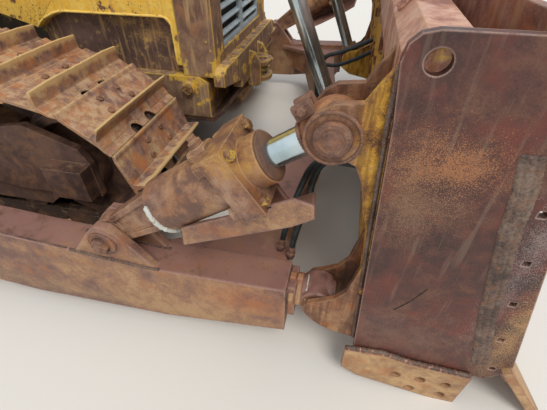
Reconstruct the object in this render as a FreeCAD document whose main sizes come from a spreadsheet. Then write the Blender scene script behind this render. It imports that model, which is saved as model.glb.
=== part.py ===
import FreeCAD, Part

import math
import os

import Sketcher

# Crawler bulldozer at full size, in millimetres.
# X points forward, Y to the machine's left and Z up. The origin is on the ground below the middle.

SIZES = (
    ("track_gauge", 2084, "between the middles of the two tracks"),
    ("shoe_width", 610, "track shoe across the machine"),
    ("track_pitch", 229, "pin to pin along the chain"),
    ("grouser_depth", 70, "bar above the shoe plate"),
    ("shoe_plate", 14, "thickness of a track shoe"),
    ("link_rise", 62, "pin to the underside of the shoe"),
    ("link_drop", 50, "pin to the face that the rollers ride on"),
    ("link_width", 45, "one side strip of the chain"),
    ("link_gap", 100, "between the two strips of the chain"),
    ("idler_x", 823, "idler's axle ahead of the origin"),
    ("idler_pin_radius", 380, "pins as they pass round the idler"),
    ("idler_width", 190, "tread of the idler"),
    ("wheelbase", 3100, "idler axle to sprocket axle"),
    ("sprocket_z", 690, "height of the sprocket's axle"),
    ("sprocket_pins", 13, "pins that would fill the sprocket's circle"),
    ("sprocket_thick", 80, "toothed rim"),
    ("roller_radius", 105, "track roller's tread"),
    ("roller_front_gap", 443, "first track roller behind the idler's axle"),
    ("roller_rear_gap", 443, "last track roller ahead of the sprocket's axle"),
    ("carrier_radius", 80, "upper roller's tread"),
    ("carrier_front_gap", 673, "first upper roller behind the idler's axle"),
    ("carrier_front_rise", 61.02, "chain over it above the straight line from the idler's top to the sprocket's"),
    ("carrier_rear_gap", 1227, "second upper roller ahead of the sprocket's axle"),
    ("carrier_rear_rise", 40.43, "the same at the second upper roller"),
    ("frame_half", 560, "outside of the main frame from the middle"),
    ("frame_wall", 60, "side rail"),
    ("frame_bottom", 590, "underside of the side rails"),
    ("frame_top", 837, "top of the side rails at the front"),
    ("frame_set_back", 64, "front end of the side rails behind the guard's face"),
    ("frame_tail", 23, "rear end of the side rails behind the sprocket's axle"),
    ("guard_lead", 567, "radiator guard's face ahead of the idler's axle"),
    ("guard_depth", 202, "radiator guard from front to rear"),
    ("guard_top", 2300, "top of the radiator guard"),
    ("guard_post", 150, "post's width seen from the front"),
    ("grille_bottom", 958, "lower edge of the grille opening"),
    ("hood_drop", 30, "top of the engine cover below the top of the guard"),
    ("hood_rear_gap", 1627, "rear of the engine cover ahead of the sprocket's axle"),
    ("sheet_skin", 8, "thickness of formed covers"),
    ("drawbar_reach", 798, "end of the drawbar behind the sprocket's axle"),
    ("recess_top", 1142, "top edge of the low side recess"),
    ("recess_bottom", 896, "bottom edge of the low side recess"),
    ("door_bottom", 1380, "lower edge of the engine doors"),
    ("hood_side", 170, "hinge line of the engine doors below the cover's top"),
    ("front_panel", 888, "front edge of the engine doors behind the guard"),
    ("floor_z", 1480, "operator's floor"),
    ("canopy_top", 3380, "top of the roof"),
    ("canopy_post", 120, "square post of the canopy"),
    ("canopy_half", 720, "outside of the canopy posts from the middle"),
    ("arm_trunnion_back", 1573, "push arm's pivot on the track frame behind the idler's axle"),
    ("arm_trunnion_z", 500, "height of that pivot"),
    ("arm_clear", 139, "outer edge of the track to the inner face of a push arm"),
    ("arm_width", 154, "push arm from inner to outer face"),
    ("arm_set_back", 120, "front end of a push arm's box behind the blade's axis"),
    ("blade_lead", 1297, "axis that the blade turns about, ahead of the idler's axle"),
    ("blade_pin_z", 403, "height of that axis"),
    ("blade_pin_radius", 40, "pin at each end of the blade's axis"),
    ("blade_overhang", 10, "outer face of a push arm to the inner face of an end plate"),
    ("end_plate", 25, "thickness of an end plate"),
    ("bit_lead", 37.5, "toe of the end bits ahead of the face under the cutting edge"),
    ("blade_top", 1413, "top edge of the end plates"),
    ("wing_start", 1000, "half the straight middle of the moldboard"),
    ("wing_sweep", 110, "how far the wings come forward"),
    ("mold_plate", 25, "thickness of the moldboard"),
    ("tilt_shift", 3, "tilt cylinder inward of the middle of the push arm"),
    ("tilt_base_back", 846, "tilt cylinder's pin on the arm behind the blade's axis"),
    ("tilt_base_z", 586, "height of that pin"),
    ("tilt_eye_back", 16, "tilt rod's eye behind the blade's axis"),
    ("tilt_eye_z", 1143, "height of that eye"),
    ("tilt_bore_radius", 102, "outside of the tilt barrel"),
    ("tilt_rod_radius", 44, "tilt rod"),
    ("tilt_pin_radius", 38, "pin at the tilt cylinder's base"),
    ("lift_gap", 85, "side of the main frame to the middle of a lift cylinder"),
    ("lift_top_lead", 57, "lift barrel's trunnion ahead of the guard's face"),
    ("lift_top_drop", 100, "lift barrel's trunnion below the top of the guard"),
    ("lift_eye_back", 7, "lift rod's ball behind the blade's axis"),
    ("lift_eye_z", 620, "height of that ball"),
    ("lift_barrel_radius", 72, "outside of the lift barrel"),
    ("lift_rod_radius", 40, "lift rod"),
    ("lift_below", 640, "trunnion to the gland end of the barrel"),
    ("lift_above", 780, "trunnion to the blind end of the barrel"),
    ("chain_sag", 3.4, "room for the chain to bend over an upper roller"),
    ("rear_roller_lift", 9, "last track roller stands higher, where the chain starts to rise"),
    ("running_fit", 0.1, "radial play at a pin"),
    ("touch_gap", 0.3, "between curved faces of pieces that are fastened together"),
    ("side_play", 6, "between the cheeks of a joint"),
)

doc = FreeCAD.newDocument("Bulldozer")
sheet = doc.addObject("Spreadsheet::Sheet", "dims")
for row, (alias, value, note) in enumerate(SIZES, start=1):
    sheet.set("A%d" % row, alias)
    sheet.set("B%d" % row, str(value))
    sheet.set("C%d" % row, note)
    sheet.setAlias("B%d" % row, alias)
doc.recompute()


class Size:
    """A length that knows its value and the spreadsheet formula that gives it."""

    def __init__(self, value, text):
        self.value = float(value)
        self.text = text

    def joined(self, other, sign, value):
        return Size(value, "(%s %s %s)" % (self.text, sign, text_of(other)))

    def __add__(self, other):
        return self.joined(other, "+", self.value + value_of(other))

    def __sub__(self, other):
        return self.joined(other, "-", self.value - value_of(other))

    def __mul__(self, other):
        return self.joined(other, "*", self.value * value_of(other))

    def __truediv__(self, other):
        return self.joined(other, "/", self.value / value_of(other))

    def __radd__(self, other):
        return as_size(other) + self

    def __rsub__(self, other):
        return as_size(other) - self

    def __rmul__(self, other):
        return as_size(other) * self

    def __neg__(self):
        return as_size(0) - self


def value_of(size):
    return size.value if isinstance(size, Size) else float(size)


def text_of(size):
    return size.text if isinstance(size, Size) else "(%s)" % repr(float(size))


def as_size(number):
    return number if isinstance(number, Size) else Size(number, "(%s)" % repr(float(number)))


class Sheet:
    """Reads a driving dimension by its alias."""

    def __getattr__(self, alias):
        return Size(sheet.get(alias), "dims.%s" % alias)


D = Sheet()
AXES = {"x": FreeCAD.Vector(1, 0, 0), "y": FreeCAD.Vector(0, 1, 0), "z": FreeCAD.Vector(0, 0, 1)}
SKETCH_TURN = {
    "x": FreeCAD.Rotation(FreeCAD.Vector(1, 1, 1), 120),
    "y": FreeCAD.Rotation(AXES["x"], 90),
    "z": FreeCAD.Rotation(),
}
CYLINDER_TURN = {
    "x": FreeCAD.Rotation(AXES["y"], 90),
    "y": FreeCAD.Rotation(AXES["x"], -90),
    "z": FreeCAD.Rotation(),
}
NODES = []


def node(obj, label):
    """Marks an object as a finished sub-part."""
    obj.Label = label
    NODES.append(obj)
    return obj


def put(obj, x, y, z, turn=None):
    """Places an object, with each coordinate bound to the sheet."""
    base = FreeCAD.Vector(value_of(x), value_of(y), value_of(z))
    obj.Placement = FreeCAD.Placement(base, turn or FreeCAD.Rotation())
    for axis, size in (("x", x), ("y", y), ("z", z)):
        if isinstance(size, Size):
            obj.setExpression(".Placement.Base.%s" % axis, size.text)


def bind(obj, prop, size):
    setattr(obj, prop, value_of(size))
    if isinstance(size, Size):
        obj.setExpression(prop, size.text)


def box(name, x0, x1, y0, y1, z0, z1):
    """Block between two corners."""
    obj = doc.addObject("Part::Box", name)
    bind(obj, "Length", x1 - x0)
    bind(obj, "Width", y1 - y0)
    bind(obj, "Height", z1 - z0)
    put(obj, x0, y0, z0)
    return obj


def rod(name, axis, x, y, z, radius, length):
    """Cylinder that starts at a point and runs along an axis."""
    obj = doc.addObject("Part::Cylinder", name)
    bind(obj, "Radius", radius)
    bind(obj, "Height", length)
    put(obj, x, y, z, CYLINDER_TURN[axis])
    return obj


def cone(name, axis, x, y, z, radius_a, radius_b, length):
    obj = doc.addObject("Part::Cone", name)
    bind(obj, "Radius1", radius_a)
    bind(obj, "Radius2", radius_b)
    bind(obj, "Height", length)
    put(obj, x, y, z, CYLINDER_TURN[axis])
    return obj


def ball(name, x, y, z, radius):
    obj = doc.addObject("Part::Sphere", name)
    bind(obj, "Radius", radius)
    put(obj, x, y, z)
    return obj


def outline(sketch, points):
    """Closed outline of straight lines, every corner pinned from the sketch's origin."""
    count = len(points)
    corners = [FreeCAD.Vector(value_of(a), value_of(b), 0) for a, b in points]
    for index in range(count):
        sketch.addGeometry(Part.LineSegment(corners[index], corners[(index + 1) % count]), False)
    for index in range(count):
        sketch.addConstraint(Sketcher.Constraint("Coincident", index, 2, (index + 1) % count, 1))
    for index, (a, b) in enumerate(points):
        for kind, size in (("DistanceX", a), ("DistanceY", b)):
            number = sketch.addConstraint(Sketcher.Constraint(kind, -1, 1, index, 1, value_of(size)))
            if isinstance(size, Size):
                sketch.setExpression("Constraints[%d]" % number, size.text)


def prism(name, axis, points, start, end):
    """Outline seen along an axis, extruded between two planes across that axis."""
    sketch = doc.addObject("Sketcher::SketchObject", name + "_sketch")
    at = {"x": (start, 0, 0), "y": (0, start, 0), "z": (0, 0, start)}[axis]
    put(sketch, at[0], at[1], at[2], SKETCH_TURN[axis])
    outline(sketch, points)
    obj = doc.addObject("Part::Extrusion", name)
    obj.Base = sketch
    obj.DirMode = "Custom"
    obj.Dir = AXES[axis]
    obj.Solid = True
    bind(obj, "LengthFwd", end - start)
    return obj


def section_loft(name, sections):
    """Ruled solid through outlines seen from the side, each at its own distance from the middle."""
    sketches = []
    for number, (y, points) in enumerate(sections):
        sketch = doc.addObject("Sketcher::SketchObject", "%s_section%d" % (name, number))
        put(sketch, 0, y, 0, SKETCH_TURN["y"])
        outline(sketch, points)
        sketches.append(sketch)
    obj = doc.addObject("Part::Loft", name)
    obj.Sections = sketches
    obj.Solid = True
    obj.Ruled = True
    return obj


def mirrored(obj):
    """The same piece on the other side of the machine."""
    other = doc.addObject("Part::Mirroring", obj.Name + "_other_side")
    other.Source = obj
    other.Base = FreeCAD.Vector(0, 0, 0)
    other.Normal = AXES["y"]
    return other


def both(*pieces):
    return list(pieces) + [mirrored(piece) for piece in pieces]


def fuse(name, pieces):
    obj = doc.addObject("Part::MultiFuse", name)
    obj.Shapes = pieces
    obj.Refine = True
    return obj


def cut(name, base, tools):
    tool = tools[0] if len(tools) == 1 else fuse(name + "_tools", tools)
    obj = doc.addObject("Part::Cut", name)
    obj.Base = base
    obj.Tool = tool
    obj.Refine = True
    return obj


def group(name, pieces):
    obj = doc.addObject("Part::Compound", name)
    obj.Links = pieces
    return obj


def body_plate(name, axis, points, start, end, holes=()):
    """Plate made as a sketch, a pad and round pockets right through it."""
    body = doc.addObject("PartDesign::Body", name)
    role = {"x": "YZ_Plane", "y": "XZ_Plane", "z": "XY_Plane"}[axis]
    plane = [item for item in body.Origin.OriginFeatures if item.Role == role][0]
    level = -end if axis == "y" else start

    def flat_sketch(label):
        sketch = body.newObject("Sketcher::SketchObject", label)
        sketch.AttachmentSupport = [(plane, "")]
        sketch.MapMode = "FlatFace"
        sketch.AttachmentOffset = FreeCAD.Placement(
            FreeCAD.Vector(0, 0, value_of(level)), FreeCAD.Rotation()
        )
        sketch.setExpression(".AttachmentOffset.Base.z", text_of(level))
        return sketch

    profile = flat_sketch(name + "_profile")
    outline(profile, points)
    pad = body.newObject("PartDesign::Pad", name + "_pad")
    pad.Profile = profile
    bind(pad, "Length", end - start)
    if holes:
        circles = flat_sketch(name + "_holes")
        for index, (a, b, radius) in enumerate(holes):
            centre = FreeCAD.Vector(value_of(a), value_of(b), 0)
            circles.addGeometry(Part.Circle(centre, AXES["z"], value_of(radius)), False)
            pins = (("DistanceX", a), ("DistanceY", b))
            for kind, size in pins:
                number = circles.addConstraint(
                    Sketcher.Constraint(kind, -1, 1, index, 3, value_of(size))
                )
                if isinstance(size, Size):
                    circles.setExpression("Constraints[%d]" % number, size.text)
            number = circles.addConstraint(Sketcher.Constraint("Radius", index, value_of(radius)))
            if isinstance(radius, Size):
                circles.setExpression("Constraints[%d]" % number, radius.text)
        pocket = body.newObject("PartDesign::Pocket", name + "_pocket")
        pocket.Profile = circles
        pocket.Type = "ThroughAll"
        pocket.Midplane = True
    return body


def body_turned(name, axis, profile, x, y, z):
    """Turned piece: a half outline of (along the axis, radius) points spun about the axis."""
    body = doc.addObject("PartDesign::Body", name)
    plane = [item for item in body.Origin.OriginFeatures if item.Role == "XZ_Plane"][0]
    sketch = body.newObject("Sketcher::SketchObject", name + "_profile")
    sketch.AttachmentSupport = [(plane, "")]
    sketch.MapMode = "FlatFace"
    outline(sketch, profile)
    turned = body.newObject("PartDesign::Revolution", name + "_turned")
    turned.Profile = sketch
    turned.ReferenceAxis = (sketch, ["H_Axis"])
    turned.Angle = 360
    turn = {"x": FreeCAD.Rotation(), "y": FreeCAD.Rotation(AXES["z"], 90),
            "z": FreeCAD.Rotation(AXES["y"], -90)}[axis]
    put(body, x, y, z, turn)
    return body


ROLLERS = 7
TRACK_Y = D.track_gauge / 2
TRACK_OUT = TRACK_Y + D.shoe_width / 2
TRACK_IN = TRACK_Y - D.shoe_width / 2
PIN_LOW = D.link_rise + D.shoe_plate + D.grouser_depth
IDLER_Z = PIN_LOW + D.idler_pin_radius
SPROCKET_X = D.idler_x - D.wheelbase
ROLLER_FRONT = D.idler_x - D.roller_front_gap
ROLLER_STEP = (D.wheelbase - D.roller_front_gap - D.roller_rear_gap) / (ROLLERS - 1)
CARRIER_FRONT_X = D.idler_x - D.carrier_front_gap
CARRIER_REAR_X = SPROCKET_X + D.carrier_rear_gap
SPROCKET_PIN_RADIUS = Size(
    D.track_pitch.value / (2 * math.sin(math.pi / D.sprocket_pins.value)),
    "(dims.track_pitch / (2 * sin(180 / dims.sprocket_pins)))",
)
BEAM_HALF = 150
GUARD_LAP = 8
GUARD_FRONT = D.idler_x + D.guard_lead
GUARD_REAR = GUARD_FRONT - D.guard_depth
FRAME_FRONT = GUARD_FRONT - D.frame_set_back
HOOD_TOP = D.guard_top - D.hood_drop
HOOD_REAR = SPROCKET_X + D.hood_rear_gap
DOOR_TOP = HOOD_TOP - D.hood_side
DOOR_FRONT = GUARD_REAR - D.front_panel
TRUNNION_X = D.idler_x - D.arm_trunnion_back
ARM_INNER = TRACK_OUT + D.arm_clear
ARM_OUTER = ARM_INNER + D.arm_width
BLADE_X = D.idler_x + D.blade_lead
ARM_FRONT = BLADE_X - D.arm_set_back
BLADE_HALF = ARM_OUTER + D.blade_overhang
TILT_HALF = ARM_INNER + D.arm_width / 2 - D.tilt_shift
TILT_BASE_X = BLADE_X - D.tilt_base_back
TILT_EYE_X = BLADE_X - D.tilt_eye_back
LIFT_HALF = D.frame_half + D.lift_gap
LIFT_TOP_X = GUARD_FRONT + D.lift_top_lead
LIFT_TOP_Z = D.guard_top - D.lift_top_drop
LIFT_EYE_X = BLADE_X - D.lift_eye_back


def carrier_level(x, rise):
    """Height of an upper roller that lifts the chain above the line between idler and sprocket."""
    front = IDLER_Z + D.idler_pin_radius
    rear = D.sprocket_z + SPROCKET_PIN_RADIUS
    line = front + (rear - front) * (D.idler_x - x) / D.wheelbase
    return line + rise - D.carrier_radius - D.link_drop


CARRIER_FRONT_Z = carrier_level(CARRIER_FRONT_X, D.carrier_front_rise)
CARRIER_REAR_Z = carrier_level(CARRIER_REAR_X, D.carrier_rear_rise)


def track_circles():
    """Circles (x, z, radius of the pins) that the chain passes round, clockwise seen from the right."""
    carrier = D.carrier_radius.value + D.link_drop.value
    roller = D.roller_radius.value + D.link_drop.value
    rear_roller_x = ROLLER_FRONT.value - (ROLLERS - 1) * ROLLER_STEP.value
    return [
        (D.idler_x.value, IDLER_Z.value, D.idler_pin_radius.value),
        (rear_roller_x, PIN_LOW.value + roller, roller),
        (SPROCKET_X.value, D.sprocket_z.value, SPROCKET_PIN_RADIUS.value),
        (CARRIER_REAR_X.value, CARRIER_REAR_Z.value, carrier),
        (CARRIER_FRONT_X.value, CARRIER_FRONT_Z.value, carrier),
    ]


def chain_pins():
    """Pin places, evenly spaced along the belt of common tangents and arcs round the circles."""
    circles = track_circles()
    count = len(circles)
    leave = []
    for index in range(count):
        xa, za, ra = circles[index]
        xb, zb, rb = circles[(index + 1) % count]
        reach = math.hypot(xb - xa, zb - za)
        heading = math.atan2(zb - za, xb - xa)
        lean = heading + math.acos((ra - rb) / reach)
        leave.append(lean)
    pieces = []
    for index in range(count):
        xa, za, ra = circles[index]
        start = leave[index - 1]
        turn = (start - leave[index]) % (2 * math.pi)
        pieces.append(("arc", xa, za, ra, start, turn, ra * turn))
        xb, zb, rb = circles[(index + 1) % count]
        lean = leave[index]
        first = (xa + ra * math.cos(lean), za + ra * math.sin(lean))
        last = (xb + rb * math.cos(lean), zb + rb * math.sin(lean))
        pieces.append(("run", first, last, math.dist(first, last)))
    total = sum(piece[-1] for piece in pieces)
    pins = []
    shoes = round(total / D.track_pitch.value)
    for number in range(shoes):
        along = total * number / shoes
        for piece in pieces:
            if along <= piece[-1]:
                break
            along -= piece[-1]
        if piece[0] == "arc":
            angle = piece[4] - along / piece[3]
            pins.append((piece[1] + piece[3] * math.cos(angle), piece[2] + piece[3] * math.sin(angle)))
        else:
            share = along / piece[-1]
            (xa, za), (xb, zb) = piece[1], piece[2]
            pins.append((xa + (xb - xa) * share, za + (zb - za) * share))
    return pins


def loop_wire(pins, stations):
    """Closed wire with the given (share of the pitch, height above the pins) points on every link."""
    points = []
    for index, (xa, za) in enumerate(pins):
        xb, zb = pins[(index + 1) % len(pins)]
        dx, dz = xb - xa, zb - za
        reach = math.hypot(dx, dz)
        out_x, out_z = -dz / reach, dx / reach
        for share, height in stations:
            x = xa + dx * share + out_x * height
            z = za + dz * share + out_z * height
            points.append(FreeCAD.Vector(x, 0, z))
    return Part.makePolygon(points + [points[0]])


def band(outer, inner, start, width):
    """Ring between two closed wires, as wide as asked, starting at a distance from the middle."""
    ring = Part.Face(outer).cut(Part.Face(inner))
    ring.translate(FreeCAD.Vector(0, start, 0))
    return ring.Faces[0].extrude(FreeCAD.Vector(0, width, 0))


def track(label, side):
    """One chain of shoes with tall single bars, on two strips of links, as a single fixed loop."""
    pins = chain_pins()
    under = D.link_rise.value
    plate = under + D.shoe_plate.value
    tip = plate + D.grouser_depth.value
    lip_low, bar_foot, bar_top, bar_back, bar_heel = 0.02, 0.70, 0.735, 0.79, 0.83
    outer = loop_wire(pins, ((lip_low, plate), (bar_foot, plate), (bar_top, tip), (bar_back, tip),
                             (bar_heel, plate)))
    seat = loop_wire(pins, ((0.5, under),))
    inside = loop_wire(pins, ((0.0, -D.link_drop.value),))
    middle = side * TRACK_Y.value
    width = D.shoe_width.value
    shoes = band(outer, seat, middle - width / 2, width)
    strips = []
    for hand in (-1, 1):
        centre = middle + hand * (D.link_gap.value + D.link_width.value) / 2
        strips.append(band(seat, inside, centre - D.link_width.value / 2, D.link_width.value))
    obj = doc.addObject("Part::Feature", label)
    obj.Shape = shoes.fuse(strips).Solids[0]
    obj.Placement = FreeCAD.Placement()
    return node(obj, label)


def tracks():
    track("track_right", -1)
    track("track_left", 1)


def idlers():
    """Big solid front wheels with a raised middle rim between the two strips of links."""
    chord_dip = D.track_pitch * D.track_pitch / (D.idler_pin_radius * 8)
    tread = D.idler_pin_radius - chord_dip - D.link_drop - 1
    flange = tread + 34
    rim = D.link_gap / 2 - 8
    half = D.idler_width / 2
    profile = [
        (-90 - half, 0), (-90 - half, 62), (-40 - half, 62), (-40 - half, 120), (-38, 120), (-26, tread - 70),
        (-half, tread - 46), (-half, tread), (-rim, tread), (-rim, flange), (rim, flange), (rim, tread),
        (half, tread), (half, tread - 46), (26, tread - 70), (38, 120), (half + 40, 120), (half + 40, 62),
        (half + 90, 62), (half + 90, 0),
    ]
    wheel = body_turned("idler", "y", profile, D.idler_x, -TRACK_Y, IDLER_Z)
    node(group("idlers", both(wheel)), "idlers")


def sprockets():
    """Toothed drive wheels between the strips of links, with their hubs."""
    teeth = 2 * int(D.sprocket_pins.value)
    seat = SPROCKET_PIN_RADIUS.value - 34
    tip = seat + 56
    points = []
    for tooth in range(teeth):
        middle = 2 * math.pi * tooth / teeth
        for share, radius in ((-0.36, seat), (-0.14, tip), (0.14, tip), (0.36, seat)):
            angle = middle + share * 2 * math.pi / teeth
            points.append(FreeCAD.Vector(radius * math.cos(angle), 0, radius * math.sin(angle)))
    rim = Part.Face(Part.makePolygon(points + [points[0]]))
    thick = D.sprocket_thick.value
    solid = rim.extrude(FreeCAD.Vector(0, thick, 0))
    hole = Part.makeCylinder(205, thick, FreeCAD.Vector(0, 0, 0), AXES["y"])
    wheel = doc.addObject("Part::Feature", "sprocket")
    wheel.Shape = solid.cut(hole)
    put(wheel, SPROCKET_X, -TRACK_Y - D.sprocket_thick / 2, D.sprocket_z)
    node(group("sprockets", both(wheel)), "sprockets")


def final_drives():
    """Stepped drive housings from the rear case out to the sprockets, with a domed cover."""
    start = D.frame_half
    reach = TRACK_Y - start
    profile = [
        (0, 0), (0, 330), (90, 330), (120, 290), (reach - 60, 250), (reach - 60, 204.7),
        (reach + 60, 204.7), (reach + 60, 180), (reach + 150, 165), (reach + 185, 110), (reach + 195, 0),
    ]
    housing = body_turned("final_drive", "y", profile, SPROCKET_X, D.frame_half, D.sprocket_z)
    node(group("final_drives", both(housing)), "final_drives")


def track_frames():
    """Long box beams inside the tracks, with the forks that carry the idlers and the roller guards."""
    inner = TRACK_Y - BEAM_HALF
    outer = TRACK_Y + BEAM_HALF
    axle = D.idler_x
    rear = SPROCKET_X
    beam = prism("frame_beam", "y", [
        (axle - 493, 430), (axle - 493, 660), (axle - 673, 720), (rear + 1027, 720), (rear + 577, 640),
        (rear + 497, 430),
    ], inner, outer)
    forks = []
    for number, (near, far) in enumerate(((inner - 30, inner + 10), (outer - 10, outer + 30))):
        forks.append(prism("idler_fork%d" % number, "y", [
            (axle - 623, 440), (axle - 623, 690), (axle - 403, 760), (axle - 183, 800), (axle + 77, 700),
            (axle + 117, 620), (axle + 117, 420), (axle - 63, 395), (axle - 403, 395),
        ], near, far))
    block = box("idler_axle_cap", axle - 100, axle + 115, outer + 20, outer + 110,
                IDLER_Z - 80, IDLER_Z + 95)
    guards = []
    for number, (near, far) in enumerate(((inner - 12, inner + GUARD_LAP), (outer - GUARD_LAP, outer + 12))):
        guards.append(prism("roller_guard%d" % number, "y", [
            (axle - 123, 400), (axle - 223, 440), (rear + 577, 440), (rear + 417, 380), (rear + 417, 330),
            (rear + 497, 290), (axle - 263, 290),
        ], near, far))
    posts = []
    for number, (x, z) in enumerate(((CARRIER_FRONT_X, CARRIER_FRONT_Z),
                                     (CARRIER_REAR_X, CARRIER_REAR_Z))):
        posts.append(box("carrier_post%d" % number, x - 45, x + 45, inner + 10, inner + 45,
                         690, z + 35))
    pin = rod("arm_pivot", "y", TRUNNION_X, outer - 20, D.arm_trunnion_z, 75,
              ARM_OUTER - outer + 20 - 4)
    hole = rod("idler_axle_room", "y", axle, inner - 40, IDLER_Z, 62.4, outer - inner + 76)
    whole = fuse("track_frame_solid", [beam] + forks + [block] + guards + posts + [pin])
    side = cut("track_frame", whole, [hole])
    node(group("track_frames", both(side)), "track_frames")


def rollers():
    """Lower rollers that the machine stands on and upper rollers that carry the chain back."""
    tread = D.roller_radius - D.touch_gap
    half = 110
    rim = D.link_gap / 2 - 8
    end = BEAM_HALF - GUARD_LAP - D.touch_gap
    profile = [
        (-end, 0), (-end, 48), (-half, 48), (-half, tread), (-rim, tread), (-rim, tread - 30),
        (rim, tread - 30), (rim, tread), (half, tread), (half, 48), (end, 48), (end, 0),
    ]
    lower = []
    level = PIN_LOW + D.link_drop + D.roller_radius
    for number in range(ROLLERS):
        lift = D.rear_roller_lift if number == ROLLERS - 1 else 0
        lower.append(body_turned("track_roller%d" % number, "y", profile,
                                 ROLLER_FRONT - ROLLER_STEP * number, -TRACK_Y, level + lift))
    node(group("track_rollers", both(*lower)), "track_rollers")
    tread = D.carrier_radius - D.touch_gap
    profile = [
        (-104.7, 0), (-104.7, 34), (-88, 34), (-88, tread), (88, tread), (88, 0),
    ]
    upper = []
    for number, (x, z) in enumerate(((CARRIER_FRONT_X, CARRIER_FRONT_Z),
                                     (CARRIER_REAR_X, CARRIER_REAR_Z))):
        upper.append(body_turned("carrier_roller%d" % number, "y", profile, x, TRACK_Y, z - D.chain_sag))
    node(group("carrier_rollers", both(*upper)), "carrier_rollers")


def main_frame():
    """Two side rails joined by cross plates, with the bosses that hold the front guard."""
    outer = D.frame_half
    inner = D.frame_half - D.frame_wall
    rear = SPROCKET_X
    rail = prism("side_rail", "y", [
        (rear - D.frame_tail, D.frame_bottom), (rear - D.frame_tail, 1000), (rear + 777, 1000),
        (rear + 1127, D.frame_top), (FRAME_FRONT - 43, D.frame_top), (FRAME_FRONT, D.frame_top - 43),
        (FRAME_FRONT, D.frame_bottom),
    ], inner, outer)
    boss = rod("guard_boss", "y", GUARD_REAR + 15, outer - 5, D.frame_top - 71, 38, 25)
    cross_front = box("cross_front", FRAME_FRONT - 60, FRAME_FRONT - 20, -inner - 5, inner + 5,
                      D.frame_bottom, D.frame_top - 60)
    cross_middle = box("cross_middle", D.idler_x - 403, D.idler_x - 343, -inner - 5, inner + 5,
                       D.frame_bottom, D.frame_bottom + 50)
    cross_rear = box("cross_rear", rear + 977, rear + 1077, -inner - 5, inner + 5, D.frame_bottom,
                     D.frame_bottom + 170)
    node(fuse("main_frame_solid", both(rail, boss) + [cross_front, cross_middle, cross_rear]), "main_frame")


def belly_guard():
    """Thick plates under the engine and the rear case, bent up at the front."""
    half = D.frame_half - 4
    top = D.frame_bottom - D.touch_gap
    rear = SPROCKET_X + 377
    plate = prism("belly_plate", "y", [
        (FRAME_FRONT + 80, D.frame_bottom + 65), (FRAME_FRONT + 80, D.frame_bottom + 32),
        (FRAME_FRONT + 10, D.frame_bottom - 30), (rear, D.frame_bottom - 30), (rear, top), (FRAME_FRONT + 4, top),
    ], -half, half)
    ribs = []
    for number, x in enumerate((D.idler_x + 77, D.idler_x - 923, SPROCKET_X + 1077)):
        ribs.append(box("belly_rib%d" % number, x, x + 40, 140 - half, half - 140, D.frame_bottom - 50,
                        D.frame_bottom - 28))
    node(fuse("belly_guard_solid", [plate] + ribs), "belly_guard")


def engine():
    """The heavy engine, kept as one plain block on its bed."""
    node(box("engine_block_solid", HOOD_REAR + 200, GUARD_REAR - 138, -330, 330,
             D.frame_bottom + 50 + D.touch_gap, HOOD_TOP - 370), "engine_block")


def radiator_guard():
    """Welded post and beam guard round the radiator, with brackets for the lift cylinders."""
    outer = D.frame_half
    back = GUARD_REAR
    face = GUARD_FRONT
    low = D.frame_top + 0.4
    side = prism("guard_side", "y", [
        (back, low), (back, D.guard_top - 40), (back + 40, D.guard_top), (face - 60, D.guard_top),
        (face, D.guard_top - 60), (face, low + 60), (face - 20, low),
    ], outer - 25, outer)
    post = box("guard_post_box", face - 70, face, outer - D.guard_post, outer - 10, low, D.guard_top - 20)
    head = box("guard_head", back + 40, face, -outer + 20, outer - 20, D.guard_top - 130, D.guard_top)
    sill = box("guard_sill", face - 150, face, -outer + 20, outer - 20, low, D.grille_bottom)
    cheek = prism("lift_bracket", "y", [
        (face - 190, LIFT_TOP_Z - 200), (face - 190, LIFT_TOP_Z + 70), (LIFT_TOP_X - 60, LIFT_TOP_Z + 95),
        (LIFT_TOP_X + 60, LIFT_TOP_Z + 75), (LIFT_TOP_X + 95, LIFT_TOP_Z),
        (LIFT_TOP_X + 60, LIFT_TOP_Z - 75), (face - 20, LIFT_TOP_Z - 260),
    ], outer - 12, outer + 2)
    bearing = rod("lift_bearing", "y", LIFT_TOP_X, outer - 60, LIFT_TOP_Z, 78, 62)
    hole = rod("lift_bearing_bore", "y", LIFT_TOP_X, outer - 70, LIFT_TOP_Z, 45 + D.running_fit, 100)
    whole = fuse("radiator_guard_solid", both(side, post, cheek, bearing) + [head, sill])
    node(cut("radiator_guard_cut", whole, both(hole)), "radiator_guard")


def grille():
    """Flat bars in two columns, each turned like a louvre, either side of a bare middle strip."""
    half = D.frame_half - D.guard_post - D.touch_gap
    low = D.grille_bottom + D.touch_gap
    high = D.guard_top - 130 - D.touch_gap
    face = GUARD_FRONT - 12
    pieces = [
        box("grille_left_edge", face - 25, face, half - 22, half, low, high),
        box("grille_right_edge", face - 25, face, -half, -half + 22, low, high),
        box("grille_middle", face - 25, face, -28, 28, low, high),
        box("grille_low_edge", face - 25, face, -half, half, low, low + 24),
        box("grille_high_edge", face - 25, face, -half, half, high - 24, high),
    ]
    rows = 18
    step = (high - low) / rows
    for number in range(1, rows):
        z = low + step * number
        pieces.append(prism("grille_bar%d" % number, "y", [
            (face - 24, z), (face - 24, z + 7), (face - 2, z - 9), (face - 2, z - 16),
        ], -half + 10, half - 10))
    badge = rod("grille_disc", "x", face - 4, 0, D.guard_top - 740, 75, 10)
    node(fuse("grille_solid", pieces + [badge]), "grille")
    core = box("core", GUARD_REAR + 56, GUARD_REAR + 120, -half + 5, half - 5,
               D.grille_bottom + D.touch_gap, D.guard_top - 132)
    node(core, "radiator_core")


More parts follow.
